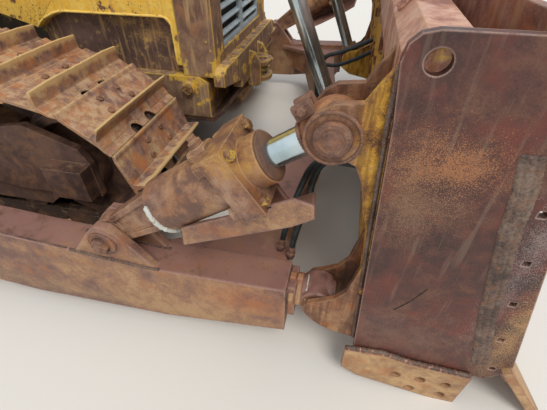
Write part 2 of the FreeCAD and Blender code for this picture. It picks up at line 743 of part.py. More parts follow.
def nose_crossmember():
    """Heavy sill ahead of the frame, with a towing jaw in its middle for an upright pin."""
    face = GUARD_FRONT + 62
    low = D.frame_top
    half = D.frame_half + 60
    beam = prism("nose_beam", "x", [
        (-half, low - 25), (-half, low + 43), (60 - half, low + 63), (half - 60, low + 63), (half, low + 43),
        (half, low - 25), (300, low - 97), (-300, low - 97),
    ], GUARD_FRONT + 0.4, face)
    ears = []
    for number, y in enumerate((-112, 92)):
        ears.append(prism("tow_cheek%d" % number, "y", [
            (face - 20, low - 107), (face - 20, low - 197), (face + 40, low - 212), (face + 75, low - 190),
            (face + 75, low - 45), (face + 40, low + 13), (face - 20, low + 33),
        ], y, y + 20))
    for number, z in enumerate((low - 182, low - 82)):
        ears.append(prism("tow_jaw%d" % number, "z", [
            (face - 20, -94), (face + 60, -94), (face + 105, -66), (face + 124, -28), (face + 124, 28),
            (face + 105, 66), (face + 60, 94), (face - 20, 94),
        ], z, z + 30))
    skid = prism("nose_foot", "y", [
        (GUARD_FRONT + 2, low - 92), (GUARD_FRONT + 2, low - 147), (face, low - 147), (face, low - 92),
    ], -300, 300)
    hole = rod("tow_pin_hole", "z", face + 60, 0, low - 200, 32, 170)
    whole = fuse("nose_solid", [beam, skid] + ears)
    node(cut("nose_cut", whole, [hole]), "nose_crossmember")


def hood():
    """Formed engine cover with sloped shoulders, open below."""
    outer = D.frame_half
    top = HOOD_TOP
    low = DOOR_TOP + 5 + D.touch_gap
    skin = D.sheet_skin
    shell = prism("hood_shell", "x", [
        (-outer, low), (-outer, top - 90), (-outer + 90, top), (outer - 90, top), (outer, top - 90),
        (outer, low), (outer - skin, low), (outer - skin, top - 94), (outer - 93, top - skin),
        (-outer + 93, top - skin), (-outer + skin, top - 94), (-outer + skin, low),
    ], HOOD_REAR, GUARD_REAR - 2)
    rib = box("hood_rib", HOOD_REAR + 400, HOOD_REAR + 430, -outer + 30, outer - 30, top - 60, top - 4)
    front_rib = box("hood_front_rib", GUARD_REAR - 588, GUARD_REAR - 558, -outer + 30, outer - 30, top - 60,
                    top - 4)
    node(fuse("hood_solid", [shell, rib, front_rib]), "hood")


def side_panels():
    """Lower engine sides with the dark rounded recess above the track, and the panel ahead of the door."""
    outer = D.frame_half
    skin = D.sheet_skin
    front = GUARD_REAR - 2
    seam = DOOR_FRONT + 6
    top = D.recess_top
    panel = prism("front_panel", "y", [
        (seam + 10, top - 92), (seam + 170, top + 51), (seam + 170, D.door_bottom - 60), (seam, D.door_bottom),
        (seam, DOOR_TOP + 5), (front, DOOR_TOP + 5), (front, D.recess_bottom), (front - 26, D.recess_bottom),
        (front - 26, top - 40), (front - 66, top), (seam + 214, top), (seam + 144, top - 14),
        (seam + 74, top - 44),
    ], outer - skin, outer)
    lip = prism("recess_lip", "y", [
        (seam + 10, top - 92), (seam + 74, top - 44), (seam + 144, top - 14), (seam + 214, top), (front - 66, top),
        (front - 26, top - 40), (front - 26, D.recess_bottom), (front - 34, D.recess_bottom),
        (front - 34, top - 44), (front - 70, top - 8), (seam + 216, top - 8), (seam + 148, top - 23),
        (seam + 79, top - 52), (seam + 18, top - 96),
    ], outer - 60, outer - skin + 1)
    inner_wall = prism("recess_wall", "y", [
        (seam + 10, top - 92), (seam + 74, top - 43), (seam + 144, top - 13), (seam + 214, top + 1),
        (front - 20, top + 1), (front - 20, D.frame_top + D.touch_gap), (seam + 10, D.frame_top + D.touch_gap),
    ], outer - 68, outer - 58)
    node(group("front_side_panels", both(fuse("front_side_panel", [panel, lip, inner_wall]))), "front_side_panels")
    rear = prism("rear_panel", "y", [
        (HOOD_REAR, top - 122), (HOOD_REAR + 550, top - 12), (seam - 212, top - 30), (seam + 9.5, top - 92),
        (seam + 169.6, top + 51), (seam + 169.6, D.door_bottom - 60), (seam - 20, D.door_bottom - 6),
        (HOOD_REAR, D.door_bottom - 6),
    ], outer - skin, outer)
    stile = box("door_stile", HOOD_REAR, HOOD_REAR + 60, outer - skin, outer, D.door_bottom - 8,
                DOOR_TOP + 5)
    node(group("rear_side_panels", both(fuse("rear_side_panel", [rear, stile]))), "rear_side_panels")


def engine_doors():
    """Flat doors over the engine, hung from a rod along their top edge."""
    outer = D.frame_half
    rear = HOOD_REAR + 66
    front = DOOR_FRONT
    top = DOOR_TOP - 30
    hinge_rear = rear + (front - rear) * 0.2 - 50
    hinge_front = rear + (front - rear) * 0.8 - 50
    leaf = box("door_leaf", rear, front, outer - 2, outer + 8, D.door_bottom, top)
    rib_low = box("door_rib_low", rear + 30, front - 30, outer + 6, outer + 22, D.door_bottom + 20,
                  D.door_bottom + 60)
    rib_high = box("door_rib_high", rear + 30, front - 30, outer + 6, outer + 22, top - 70, top - 30)
    knuckles = []
    for number, x in enumerate((hinge_rear, hinge_front)):
        knuckles.append(prism("door_knuckle%d" % number, "x", [
            (outer + 6, top - 60), (outer + 2, top - 2), (outer + 14, DOOR_TOP + 10), (outer + 30, DOOR_TOP + 10),
            (outer + 34, top - 2), (outer + 20, top - 60),
        ], x, x + 100))
    bore = rod("door_bore", "x", rear - 10, outer + 22, DOOR_TOP, 5 + D.running_fit, front - rear + 20)
    handle = rod("door_handle", "y", front - 70, outer + 6, D.door_bottom + 300, 22, 24)
    whole = fuse("engine_door_solid", [leaf, rib_low, rib_high, handle] + knuckles)
    left = cut("engine_door_cut", whole, [bore])
    node(left, "engine_door_left")
    node(mirrored(left), "engine_door_right")
    pins = []
    for number, x in enumerate((hinge_rear - 20, hinge_front - 20)):
        pin = rod("door_pin%d" % number, "x", x, outer + 22, DOOR_TOP, 5, 140)
        ear_a = box("door_ear_a%d" % number, x, x + 14, outer + 0.3, outer + 30, DOOR_TOP - 8, DOOR_TOP + 24)
        ear_b = box("door_ear_b%d" % number, x + 126, x + 140, outer + 0.3, outer + 30, DOOR_TOP - 8,
                    DOOR_TOP + 24)
        pins.append(fuse("door_hinge%d" % number, [pin, ear_a, ear_b]))
    node(group("door_hinges", both(*pins)), "door_hinges")


def rear_case():
    """Cast case for the transmission and steering clutches, between the final drives."""
    half = D.frame_half - D.frame_wall - D.touch_gap
    axle = SPROCKET_X
    case = prism("case_body", "y", [
        (axle + 967, 700), (axle + 967, 1180), (axle + 777, 1300), (axle - 373, 1300), (axle - 443, 1220),
        (axle - 443, 520), (axle - 323, 450), (axle + 327, 450), (axle + 327, 600), (axle + 777, 600),
    ], -half, half)
    cover = rod("rear_cover", "x", axle - 468, 0, 900, 230, 30)
    node(fuse("rear_case_solid", [case, cover]), "rear_case")


def drawbar():
    """Forged towing tongue with an upright pin hole, below the rear case."""
    tip = SPROCKET_X - D.drawbar_reach
    root = SPROCKET_X - 23
    profile = [
        (tip + 60, -85), (tip, -45), (tip, 45), (tip + 60, 85), (root - 200, 130), (root, 130),
        (root, -130), (root - 200, -130),
    ]
    node(body_plate("drawbar_body", "z", profile, 385, 449.6, holes=((tip + 85, 0, 33),)), "drawbar")


def tanks():
    """Fuel tank behind the seat, the hydraulic tank on the right fender and a box on the left one."""
    axle = SPROCKET_X
    low = D.floor_z + 20
    fuel = prism("fuel_tank_body", "y", [
        (axle - 75, low), (axle - 75, low + 550), (axle - 143, low + 620), (axle - 603, low + 620),
        (axle - 693, low + 520), (axle - 693, low + 60), (axle - 633, low),
    ], -640, 640)
    filler = rod("fuel_filler", "z", axle - 363, 380, low + 615, 55, 50)
    foot = box("fuel_tank_foot", axle - 363, axle - 123, -420, 420, 1300 + D.touch_gap, low + 5)
    node(fuse("fuel_tank_solid", [fuel, filler, foot]), "fuel_tank")
    floor = D.floor_z + D.touch_gap
    oil = box("oil_tank_body", axle + 377, axle + 1027, -1270, -830, floor, D.floor_z + 500)
    cap = rod("oil_cap", "z", axle + 827, -1050, D.floor_z + 495, 45, 45)
    node(fuse("hydraulic_tank_solid", [oil, cap]), "hydraulic_tank")
    case = box("tool_case_body", axle + 377, axle + 1027, 830, 1270, floor, D.floor_z + 280)
    lid = box("tool_case_lid", axle + 367, axle + 1037, 820, 1280, D.floor_z + 278, D.floor_z + 305)
    node(fuse("battery_case_solid", [case, lid]), "battery_case")


def platform():
    """Operator's floor and the fenders over the tracks."""
    rear = SPROCKET_X - 68
    front = HOOD_REAR - 5
    top = D.floor_z
    inner = D.frame_half - D.frame_wall
    floor = box("floor_plate", rear, front, -1290, 1290, top - 40, top)
    brace = prism("floor_bracket", "x", [
        (inner, 1010), (inner, top - 38), (1150, top - 38), (1150, top - 70), (inner + 90, top - 150),
        (inner + 61, 1010),
    ], SPROCKET_X + 177, SPROCKET_X + 217)
    brace_front = prism("floor_bracket_front", "x", [
        (inner + 10, top - 100), (inner + 10, top - 38), (1150, top - 38), (1150, top - 70), (inner + 120, top - 100),
    ], front - 105, front - 65)
    edge = box("fender_edge", rear, front, 1270, 1290, top - 60, top - 38)
    node(fuse("platform_solid", [floor] + both(brace, brace_front, edge)), "platform")


def cowl():
    """Instrument cowl at the rear of the engine cover, and the wall below it."""
    rear = HOOD_REAR
    foot = D.floor_z + 0.4
    body = prism("cowl_body", "y", [
        (rear - 10, foot), (rear - 10, HOOD_TOP - 15), (rear - 50, HOOD_TOP), (rear - 130, HOOD_TOP - 30),
        (rear - 210, HOOD_TOP - 210), (rear - 210, HOOD_TOP - 270), (rear - 150, foot),
    ], 40 - D.frame_half, D.frame_half - 40)
    wall = box("fire_wall", rear - 50, rear - 2, 20 - D.frame_half, D.frame_half - 20, 1190,
               D.floor_z - 40 - D.touch_gap)
    node(body, "dash_cowl")
    node(wall, "fire_wall")


def seat():
    """Sprung operator's seat with armrests."""
    x = SPROCKET_X + 827
    floor = D.floor_z
    base = box("seat_base", x - 200, x + 200, -200, 200, floor + D.touch_gap, floor + 311 - D.touch_gap)
    node(base, "seat_base")
    cushion = prism("seat_cushion_body", "y", [
        (x + 250, floor + 320), (x + 270, floor + 400), (x + 220, floor + 450), (x - 170, floor + 420),
        (x - 240, floor + 380), (x - 240, floor + 311), (x + 250, floor + 311),
    ], -270, 270)
    back = prism("seat_back_body", "y", [
        (x - 170, floor + 400), (x - 190, floor + 480), (x - 310, floor + 1000), (x - 380, floor + 1040),
        (x - 420, floor + 990), (x - 290, floor + 380), (x - 240, floor + 360),
    ], -260, 260)
    node(fuse("seat_solid", [cushion, back]), "seat")
    arm = prism("armrest", "y", [
        (x + 200, floor + 595), (x + 200, floor + 650), (x - 260, floor + 650), (x - 250, floor + 595),
    ], 285, 365)
    post = box("armrest_post", x - 70, x, 300, 350, floor + 0.4, floor + 600)
    node(group("armrests", both(fuse("armrest_one", [arm, post]))), "armrests")


def controls():
    """Blade lever, travel lever, hand throttle and pedals on the floor."""
    x = SPROCKET_X + 1257
    floor = D.floor_z
    consoles = []
    for name, y, lever_x, height in (("blade", -620, x - 130, 190), ("travel", 450, x - 160, 170)):
        case = box(name + "_console_box", x - 330, x, y, y + 170, floor + 0.4, floor + 560)
        lever = rod(name + "_lever", "z", lever_x, y + 85, floor + 555, 13, height)
        knob = ball(name + "_knob", lever_x, y + 85, floor + 570 + height, 33)
        consoles.append(fuse(name + "_console", [case, lever, knob]))
    pedals = []
    for number, y in enumerate((-160, 20)):
        pedals.append(prism("pedal%d" % number, "y", [
            (x + 120, floor + 0.4), (x + 85, floor + 160), (x + 95, floor + 166), (x + 150, floor + 0.4),
        ], y, y + 110))
    node(group("controls", consoles + pedals), "controls")


def canopy():
    """Roll-over frame of four square posts with two hoops, and a flat roof on it."""
    half = D.canopy_half
    post = D.canopy_post
    axle = SPROCKET_X
    foot = D.floor_z + 0.4
    roof_low = D.canopy_top - 110
    pieces = []
    for number, (x, lean) in enumerate(((axle - 3, -40), (axle + 1377, 30))):
        pieces.append(prism("canopy_post%d" % number, "y", [
            (x, foot), (x + lean, roof_low), (x + lean + post, roof_low), (x + post, foot),
        ], half - post, half))
        pieces.append(box("canopy_foot%d" % number, x - 50, x + post + 50, half - post - 50, half + 50,
                          foot, D.floor_z + 30))
    hoops = [
        box("hoop_rear", axle - 33, axle + 67, -half + 60, half - 60, roof_low - 90, roof_low),
        box("hoop_front", axle + 1397, axle + 1497, -half + 60, half - 60, roof_low - 90, roof_low),
        box("rear_bar", axle - 23, axle + 57, -half + 60, half - 60, D.floor_z + 870, D.floor_z + 940),
    ]
    node(fuse("canopy_posts_solid", both(*pieces) + hoops), "canopy_posts")
    roof = prism("roof_body", "y", [
        (axle - 203, roof_low + 0.4), (axle - 223, roof_low + 50), (axle - 163, D.canopy_top),
        (axle + 1577, D.canopy_top), (axle + 1717, roof_low + 40), (axle + 1717, roof_low + 0.4),
    ], -half - 120, half + 120)
    node(roof, "canopy_roof")


def stacks():
    """Exhaust stack with its silencer and the air pre-cleaner on the engine cover."""
    node(body_turned("exhaust_body", "z", [
        (0.4, 0), (0.4, 95), (30, 95), (30, 62), (120, 62), (150, 110), (560, 110), (590, 62), (640, 50),
        (1000, 50), (1000, 42), (660, 42), (660, 0),
    ], GUARD_REAR - 1038, -170, HOOD_TOP), "exhaust_stack")
    node(body_turned("precleaner_body", "z", [
        (0.4, 0), (0.4, 90), (20, 90), (20, 60), (260, 60), (280, 130), (430, 140), (470, 100), (490, 0),
    ], HOOD_REAR + 370, 190, HOOD_TOP), "air_precleaner")


def lamps():
    """Round work lamps on the radiator guard and on the roof."""
    pieces = []
    places = (
        (GUARD_FRONT - 50, 380, D.guard_top + 95, 1),
        (SPROCKET_X + 1497, D.canopy_half - 160, D.canopy_top + 75, 1),
        (SPROCKET_X - 123, D.canopy_half - 160, D.canopy_top + 75, -1),
    )
    for number, (x, y, z, aim) in enumerate(places):
        can = body_turned("lamp_can%d" % number, "x", [
            (-55 * aim, 0), (-50 * aim, 45), (30 * aim, 75), (45 * aim, 75), (45 * aim, 68), (30 * aim, 66),
            (30 * aim, 0),
        ], x, y, z)
        stem = rod("lamp_stem%d" % number, "z", x, y, z - (94.6 if number == 0 else 74.6), 14, 40)
        pieces.append(fuse("lamp%d" % number, [can, stem]))
    node(group("lamps", both(*pieces)), "lamps")


def equalizer():
    """Bar that ties the fronts of the two track frames together, and the pivot shafts behind it."""
    low = D.frame_bottom - 60
    end = TRACK_Y - 180 - D.touch_gap
    bar = prism("equalizer_body", "x", [
        (-end, low - 40), (-end, low + 40), (-400, low + 20), (400, low + 20), (end, low + 40), (end, low - 40),
        (400, low - 60), (-400, low - 60),
    ], D.idler_x - 563, D.idler_x - 483)
    shaft = rod("pivot_shaft", "y", SPROCKET_X + 857, D.frame_half + 0.4, 640, 85, TRACK_Y - 151 - D.frame_half)
    node(group("equalizer_bar", [bar]), "equalizer_bar")
    node(group("pivot_shafts", both(shaft)), "pivot_shafts")


EYE_HALF = 60
ROD_EYE_HALF = 48
LUG_THICK = 22
HEAD_HALF = 118
BACK_RIBS = 5


def push_frame():
    """Each side's push arm, deeper to the rear, with the inner brace that runs to the blade's middle."""
    inner = ARM_INNER
    outer = ARM_OUTER
    pin = BLADE_X
    arm = prism("arm_box", "y", [
        (ARM_FRONT, 202), (ARM_FRONT, 478), (pin - 680, 461), (pin - 1375, 512), (pin - 2020, 560), (TRUNNION_X, 650),
        (TRUNNION_X - 110, 600), (TRUNNION_X - 150, 500), (TRUNNION_X - 110, 400),
        (TRUNNION_X, 350), (pin - 2020, 170), (pin - 1375, 112), (pin - 680, 128),
    ], inner, outer)
    brace = prism("arm_brace", "z", [
        (pin - 640, inner + 5), (pin - 130, inner + 5), (pin - 180, inner - 222), (pin - 160, 980), (pin - 100, 470),
        (pin - 90, 90), (pin - 195, 90), (pin - 260, 470), (pin - 390, 980), (pin - 470, inner - 180),
    ], 215, 420)
    gusset = prism("arm_gusset", "z", [
        (pin - 776, inner + 5), (pin - 607, inner - 75), (pin - 468, inner - 159), (pin - 184, inner - 222),
        (pin - 142, inner + 5),
    ], 405, 440)
    nose = prism("arm_nose", "y", [
        (ARM_FRONT - 10, 290), (ARM_FRONT - 10, 470), (pin - 85, 470), (pin - 85, 290),
    ], TILT_HALF - 60, TILT_HALF + 55)
    socket = rod("arm_socket", "x", pin - 90, TILT_HALF, D.blade_pin_z, EYE_HALF - 1, 155)
    eye = rod("arm_eye", "y", pin, TILT_HALF - EYE_HALF, D.blade_pin_z, 66, 2 * EYE_HALF)
    ears = []
    for number, start in enumerate((TILT_HALF - 75, TILT_HALF + 40)):
        ears.append(prism("tilt_ear%d" % number, "y", [
            (TILT_BASE_X - 190, 466), (TILT_BASE_X - 75, D.tilt_base_z + 25), (TILT_BASE_X - 30, D.tilt_base_z + 68),
            (TILT_BASE_X + 30, D.tilt_base_z + 68), (TILT_BASE_X + 75, D.tilt_base_z + 20),
            (TILT_BASE_X + 190, 458),
        ], start, start + 35))
    boss = rod("tilt_boss", "y", TILT_BASE_X, TILT_HALF + 40, D.tilt_base_z, 55, 50)
    tilt_pin = rod("tilt_pin", "y", TILT_BASE_X, TILT_HALF - 78, D.tilt_base_z, D.tilt_pin_radius, 170)
    pivot = rod("arm_pivot_bore", "y", TRUNNION_X, inner - 20, D.arm_trunnion_z, 75 + D.running_fit, 250)
    pin_bore = rod("arm_eye_bore", "y", pin, inner - 20, D.blade_pin_z,
                   D.blade_pin_radius + D.running_fit, 250)
    whole = fuse("push_arm_solid", [arm, brace, gusset, nose, socket, eye, boss, tilt_pin] + ears)
    side = cut("push_arm_cut", whole, [pivot, pin_bore])
    node(side, "push_arm_left")
    node(mirrored(side), "push_arm_right")
    yoke = prism("yoke_body", "z", [
        (pin - 195, -89.7), (pin - 195, 89.7), (pin - 90, 89.7), (pin - 84, 60), (pin - 84, -60), (pin - 90, -89.7),
    ], 215, 470)
    yoke_socket = rod("yoke_socket", "x", pin - 90, 0, D.blade_pin_z, EYE_HALF - 1, 155)
    yoke_eye = rod("yoke_eye", "y", pin, -EYE_HALF, D.blade_pin_z, 66, 2 * EYE_HALF)
    yoke_bore = rod("yoke_bore", "y", pin, -100, D.blade_pin_z, D.blade_pin_radius + D.running_fit, 200)
    node(cut("yoke_cut", fuse("yoke_solid", [yoke, yoke_socket, yoke_eye]), [yoke_bore]), "brace_yoke")


MOLD_FRONT = ((380, 1440), (400, 1190), (446, 930), (545, 600), (670, 330), (790, 170))
FOOT_Z = 330


def set_back(points, y):
    """The outline moved back by what the wing recedes at a distance from the middle."""
    shift = D.wing_sweep * (BLADE_HALF - y) / (BLADE_HALF - D.wing_start)
    return [(x - shift, z) for x, z in points]


def blade_span(name, points, half):
    """Solid through the same outline at both ends and at both knees, set back between the knees."""
    tip = set_back(points, half)
    knee = set_back(points, D.wing_start)
    return section_loft(name, [(-half, tip), (-D.wing_start, knee), (D.wing_start, knee), (half, tip)])


def foot_x(z):
    """Where the face under the cutting edge is at a height: it runs 3 ahead for 4 down."""
    return BLADE_X + MOLD_FRONT[4][0] + (FOOT_Z - z) * 0.75


def moldboard():
    front = [(BLADE_X + x, as_size(z)) for x, z in MOLD_FRONT]
    back = [(x - D.mold_plate, z) for x, z in reversed(front)]
    node(blade_span("moldboard_body", front + back, BLADE_HALF - D.touch_gap), "moldboard")


def blade_back():
    """Box beams and upright ribs welded behind the moldboard."""
    pin = BLADE_X
    half = BLADE_HALF - D.touch_gap
    high = prism("back_beam_high", "y", [
        (pin + 102, 1215), (pin + 102, 1350), (pin + 142, 1400), (pin + 230, 1400), (pin + 256, 1215),
    ], -half, half)
    low = prism("back_beam_low", "y", [
        (pin + 165, 262), (pin + 142, 560), (pin + 380, 560), (pin + 500, 300), (pin + 480, 250),
    ], -half, half)
    corners = prism("back_corner_plate", "y", [
        (pin + 142, 560), (pin + 102, 1219), (pin + 122, 1219), (pin + 162, 560),
    ], BLADE_HALF - 250, half)
    seats = prism("lift_seat_plate", "y", [
        (pin + 142, 560), (pin + 120, 780), (pin + 142, 780), (pin + 166, 560),
    ], LIFT_HALF - 140, LIFT_HALF + 160)
    ribs = []
    first, last = 180, BLADE_HALF - 270
    for number in range(BACK_RIBS):
        y = first + (last - first) * number / (BACK_RIBS - 1)
        ribs.append(prism("back_rib%d" % number, "y", [
            (pin + 142, 555), (pin + 108, 900), (pin + 102, 1220), (pin + 254, 1220), (pin + 306, 900),
            (pin + 380, 555),
        ], y, y + 25))
    node(fuse("blade_back_solid", [high, low] + both(corners, seats, *ribs)), "blade_back_frame")


def end_plates():
    """Side plates with a rounded rear corner, a lifting hole and a row of square bolt holes."""
    pin = BLADE_X
    inner = BLADE_HALF
    top = D.blade_top
    plate = body_plate("end_plate_body", "y", [
        (pin + 172, 205), (pin + 137, 796), (pin + 112, 1221), (pin + 97, 1350), (pin + 105, 1385),
        (pin + 125, 1405), (pin + 158, top), (pin + 480, top), (pin + 528, 1180), (pin + 591, 858),
        (pin + 725, 323), (pin + 716, 323), (foot_x(303) - 1, 303), (foot_x(268) - 3, 268), (pin + 670, 205),
    ], inner, inner + D.end_plate, holes=((pin + 167, 1355, 27),))
    holes = []
    for number, (x, z) in enumerate(((501, 1023), (539, 853), (579, 675), (622, 481), (668, 290))):
        holes.append(box("square_hole%d" % number, pin + x - 11, pin + x + 11, inner - 10,
                         inner + D.end_plate + 10, z - 11, z + 11))
    side = cut("end_plate_cut", plate, holes)
    node(group("end_plates", both(side)), "end_plates")


def cutting_edges():
    """Bolted edge along the foot of the moldboard and the stout bits at its ends."""
    pin = BLADE_X
    back = 0.4
    foot = [
        (foot_x(322) + back, as_size(322)), (foot_x(322) + 22, as_size(338)), (foot_x(0) + 30, as_size(12)),
        (foot_x(0) + 34, as_size(0)), (foot_x(0) + back, as_size(0)),
    ]
    bit_half = BLADE_HALF - 215
    node(blade_span("cutting_edge_body", foot, bit_half - D.touch_gap), "cutting_edge")
    toe = foot_x(0) + D.bit_lead
    bit = [
        (foot_x(300) + back, as_size(300)), (foot_x(300) + 28, as_size(320)), (toe, as_size(10)),
        (toe - 4, as_size(0)), (foot_x(0) + back, as_size(0)),
    ]
    solid = section_loft("end_bit_body", [
        (bit_half, set_back(bit, bit_half)), (BLADE_HALF, bit), (BLADE_HALF + D.end_plate + 20, bit),
    ])
    node(group("end_bits", both(solid)), "end_bits")
    bolts = ((355, 134), (452, 134), (549, 134), (430, 45), (552, 45))
    wear = body_plate("wear_plate_body", "y", [
        (pin + 137, 245), (pin + 137, 110), (pin + 210, 60), (pin + 520, 0), (pin + 616, 0), (pin + 616, 222),
        (pin + 380, 236), (pin + 280, 262),
    ], BLADE_HALF + D.end_plate + 0.4, BLADE_HALF + D.end_plate + 22.4,
        holes=[(pin + x, z, 20) for x, z in bolts])
    node(group("side_wear_plates", both(wear)), "side_wear_plates")


def blade_lugs():
    """Curved lugs at the blade's axis, brackets for the tilt rods and for the lift rods."""
    pin = BLADE_X
    pieces = []
    lug = [
        (pin + 164.3, 270), (pin + 60, 290), (pin + 10, 318), (pin - 22, 350), (pin - 48, 384), (pin - 52, 410),
        (pin - 34, 440), (pin + 5, 460), (pin + 60, 493), (pin + 97, 547), (pin + 115, 632), (pin + 131, 710),
        (pin + 132.8, 711), (pin + 142, 560),
    ]
    reach = EYE_HALF + D.side_play
    for number, start in enumerate((TILT_HALF - reach - LUG_THICK, TILT_HALF + reach)):
        pieces.append(prism("arm_lug%d" % number, "y", lug, start, start + LUG_THICK))
    pin_half = reach + LUG_THICK + 1
    arm_pin = rod("blade_pin", "y", pin, TILT_HALF - pin_half, D.blade_pin_z, D.blade_pin_radius, pin_half * 2)
    eye = TILT_EYE_X
    level = D.tilt_eye_z
    reach = ROD_EYE_HALF + D.side_play
    for number, start in enumerate((TILT_HALF - reach - LUG_THICK, TILT_HALF + reach)):
        pieces.append(prism("tilt_bracket%d" % number, "y", [
            (pin + 125.6, 830), (pin + 95, 915), (pin + 86, 965), (pin + 74, 1020), (pin + 52, 1070),
            (eye + 40, level - 60), (eye, level - 70), (eye - 46, level - 52), (eye - 74, level - 12),
            (eye - 74, level + 16), (eye - 41, level + 66), (eye - 8, level + 90), (eye + 62, level + 98),
            (eye + 92, level + 150), (pin + 102, 1330), (pin + 102, 1215),
        ], start, start + LUG_THICK))
    ball_x = LIFT_EYE_X
    ball_z = D.lift_eye_z
    for number, start in enumerate((LIFT_HALF - 82, LIFT_HALF + 56)):
        pieces.append(prism("lift_bracket_plate%d" % number, "y", [
            (pin + 147.4, 490), (ball_x - 3, ball_z - 100), (ball_x - 73, ball_z - 50), (ball_x - 78, ball_z + 20),
            (ball_x - 38, ball_z + 70), (ball_x + 37, ball_z + 85), (pin + 121.5, 760), (pin + 142, 560),
        ], start, start + 26))
    sides = fuse("blade_lug_side", pieces + [arm_pin])
    centre = []
    reach = EYE_HALF + D.side_play
    for number, start in enumerate((-reach - LUG_THICK, reach)):
        centre.append(prism("centre_lug%d" % number, "y", lug, start, start + LUG_THICK))
    centre_pin = rod("centre_pin", "y", pin, -pin_half, D.blade_pin_z, D.blade_pin_radius, pin_half * 2)
    node(group("blade_lugs", both(sides) + [fuse("centre_lugs", centre + [centre_pin])]), "blade_lugs")


def inclined(obj, x, y, z, rise, run, label):
    """Turns a cylinder drawn along +X up or down to its real slope and puts it on its pin."""
    angle = math.degrees(math.atan2(value_of(rise), value_of(run)))
    put(obj, x, y, z, FreeCAD.Rotation(AXES["y"], -angle))
    obj.setExpression(".Placement.Rotation.Angle", "atan2(%s; %s)" % (text_of(rise), text_of(run)))
    obj.setExpression(".Placement.Rotation.Axis.x", "0")
    obj.setExpression(".Placement.Rotation.Axis.y", "-1")
    obj.setExpression(".Placement.Rotation.Axis.z", "0")
    obj.Label = label
    return obj


def tilt_cylinders():
    """Tilt cylinders: shank and barrel on the arm, chrome rod and round eye on the blade."""
    rise = D.tilt_eye_z - D.tilt_base_z
    run = TILT_EYE_X - TILT_BASE_X
    reach = math.hypot(rise.value, run.value)
    eye = rod("tilt_base_eye", "y", 0, -32, 0, 66, 64)
    shank = prism("tilt_shank", "y", [
        (20, -52), (330, -78), (330, 78), (20, 52),
    ], -20, 20)
    flange_a = prism("tilt_flange_low", "y", [(30, -56), (330, -84), (330, -58), (30, -34)], -33, 33)
    flange_b = prism("tilt_flange_high", "y", [(30, 34), (330, 58), (330, 84), (30, 56)], -33, 33)
    barrel = rod("tilt_barrel_tube", "x", 320, 0, 0, D.tilt_bore_radius, 380)
    head = box("tilt_head", 640, 725, -HEAD_HALF, HEAD_HALF, -HEAD_HALF, HEAD_HALF)
    gland = rod("tilt_gland", "x", 720, 0, 0, 84, 62)
    base_bore = rod("tilt_base_bore", "y", 0, -40, 0, D.tilt_pin_radius + D.running_fit, 80)
    rod_bore = rod("tilt_rod_bore", "x", 420, 0, 0, D.tilt_rod_radius + D.running_fit, 400)
    whole = fuse("tilt_barrel_solid", [eye, shank, flange_a, flange_b, barrel, head, gland])
    tube = cut("tilt_barrel_cut", whole, [base_bore, rod_bore])
    left = node(inclined(tube, TILT_BASE_X, TILT_HALF, D.tilt_base_z, rise, run, "tilt_barrel_left"),
                "tilt_barrel_left")
    node(mirrored(left), "tilt_barrel_right")
    floor_out = [(338, -126), (535, -161), (751, -198), (834, -198), (834, -208), (750, -208), (534, -171),
                 (338, -136)]
    floor_in = [(199, -145), (444, -187), (714, -219), (800, -222), (800, -232), (713, -229), (443, -197),
                (199, -155)]
    floor = section_loft("hose_guard_floor", [(as_size(-80), floor_in), (as_size(90), floor_out)])
    lip = prism("hose_guard_lip", "y", [
        (338, -132), (385, -68), (593, -92), (632, -97), (632, -HEAD_HALF), (735, -HEAD_HALF), (735, -107),
        (814, -116), (858, -163), (834, -204), (751, -204), (535, -167),
    ], 82, 90)
    hanger = prism("hose_guard_hanger", "x", [(-60, -HEAD_HALF), (-60, -215), (-44, -215), (-44, -HEAD_HALF)],
                   650, 715)
    guard = fuse("hose_guard_solid", [floor, lip, hanger])
    left = node(inclined(guard, TILT_BASE_X, TILT_HALF, D.tilt_base_z, rise, run, "tilt_guard_left"),
                "tilt_guard_left")
    node(mirrored(left), "tilt_guard_right")
    shaft = rod("tilt_rod_shaft", "x", 560, 0, 0, D.tilt_rod_radius, reach - 560 - 20)
    knob = ball("tilt_rod_ball", reach, 0, 0, 78)
    trim = box("tilt_rod_trim", reach - 90, reach + 90, -ROD_EYE_HALF, ROD_EYE_HALF, -90, 90)
    collar = cone("tilt_rod_collar", "x", reach - 85, 0, 0, 47, 49, 50)
    flat = doc.addObject("Part::MultiCommon", "tilt_rod_eye")
    flat.Shapes = [knob, trim]
    rod_piece = fuse("tilt_rod_solid", [shaft, collar, flat])
    left = node(inclined(rod_piece, TILT_BASE_X, TILT_HALF, D.tilt_base_z, rise, run, "tilt_rod_left"),
                "tilt_rod_left")
    node(mirrored(left), "tilt_rod_right")


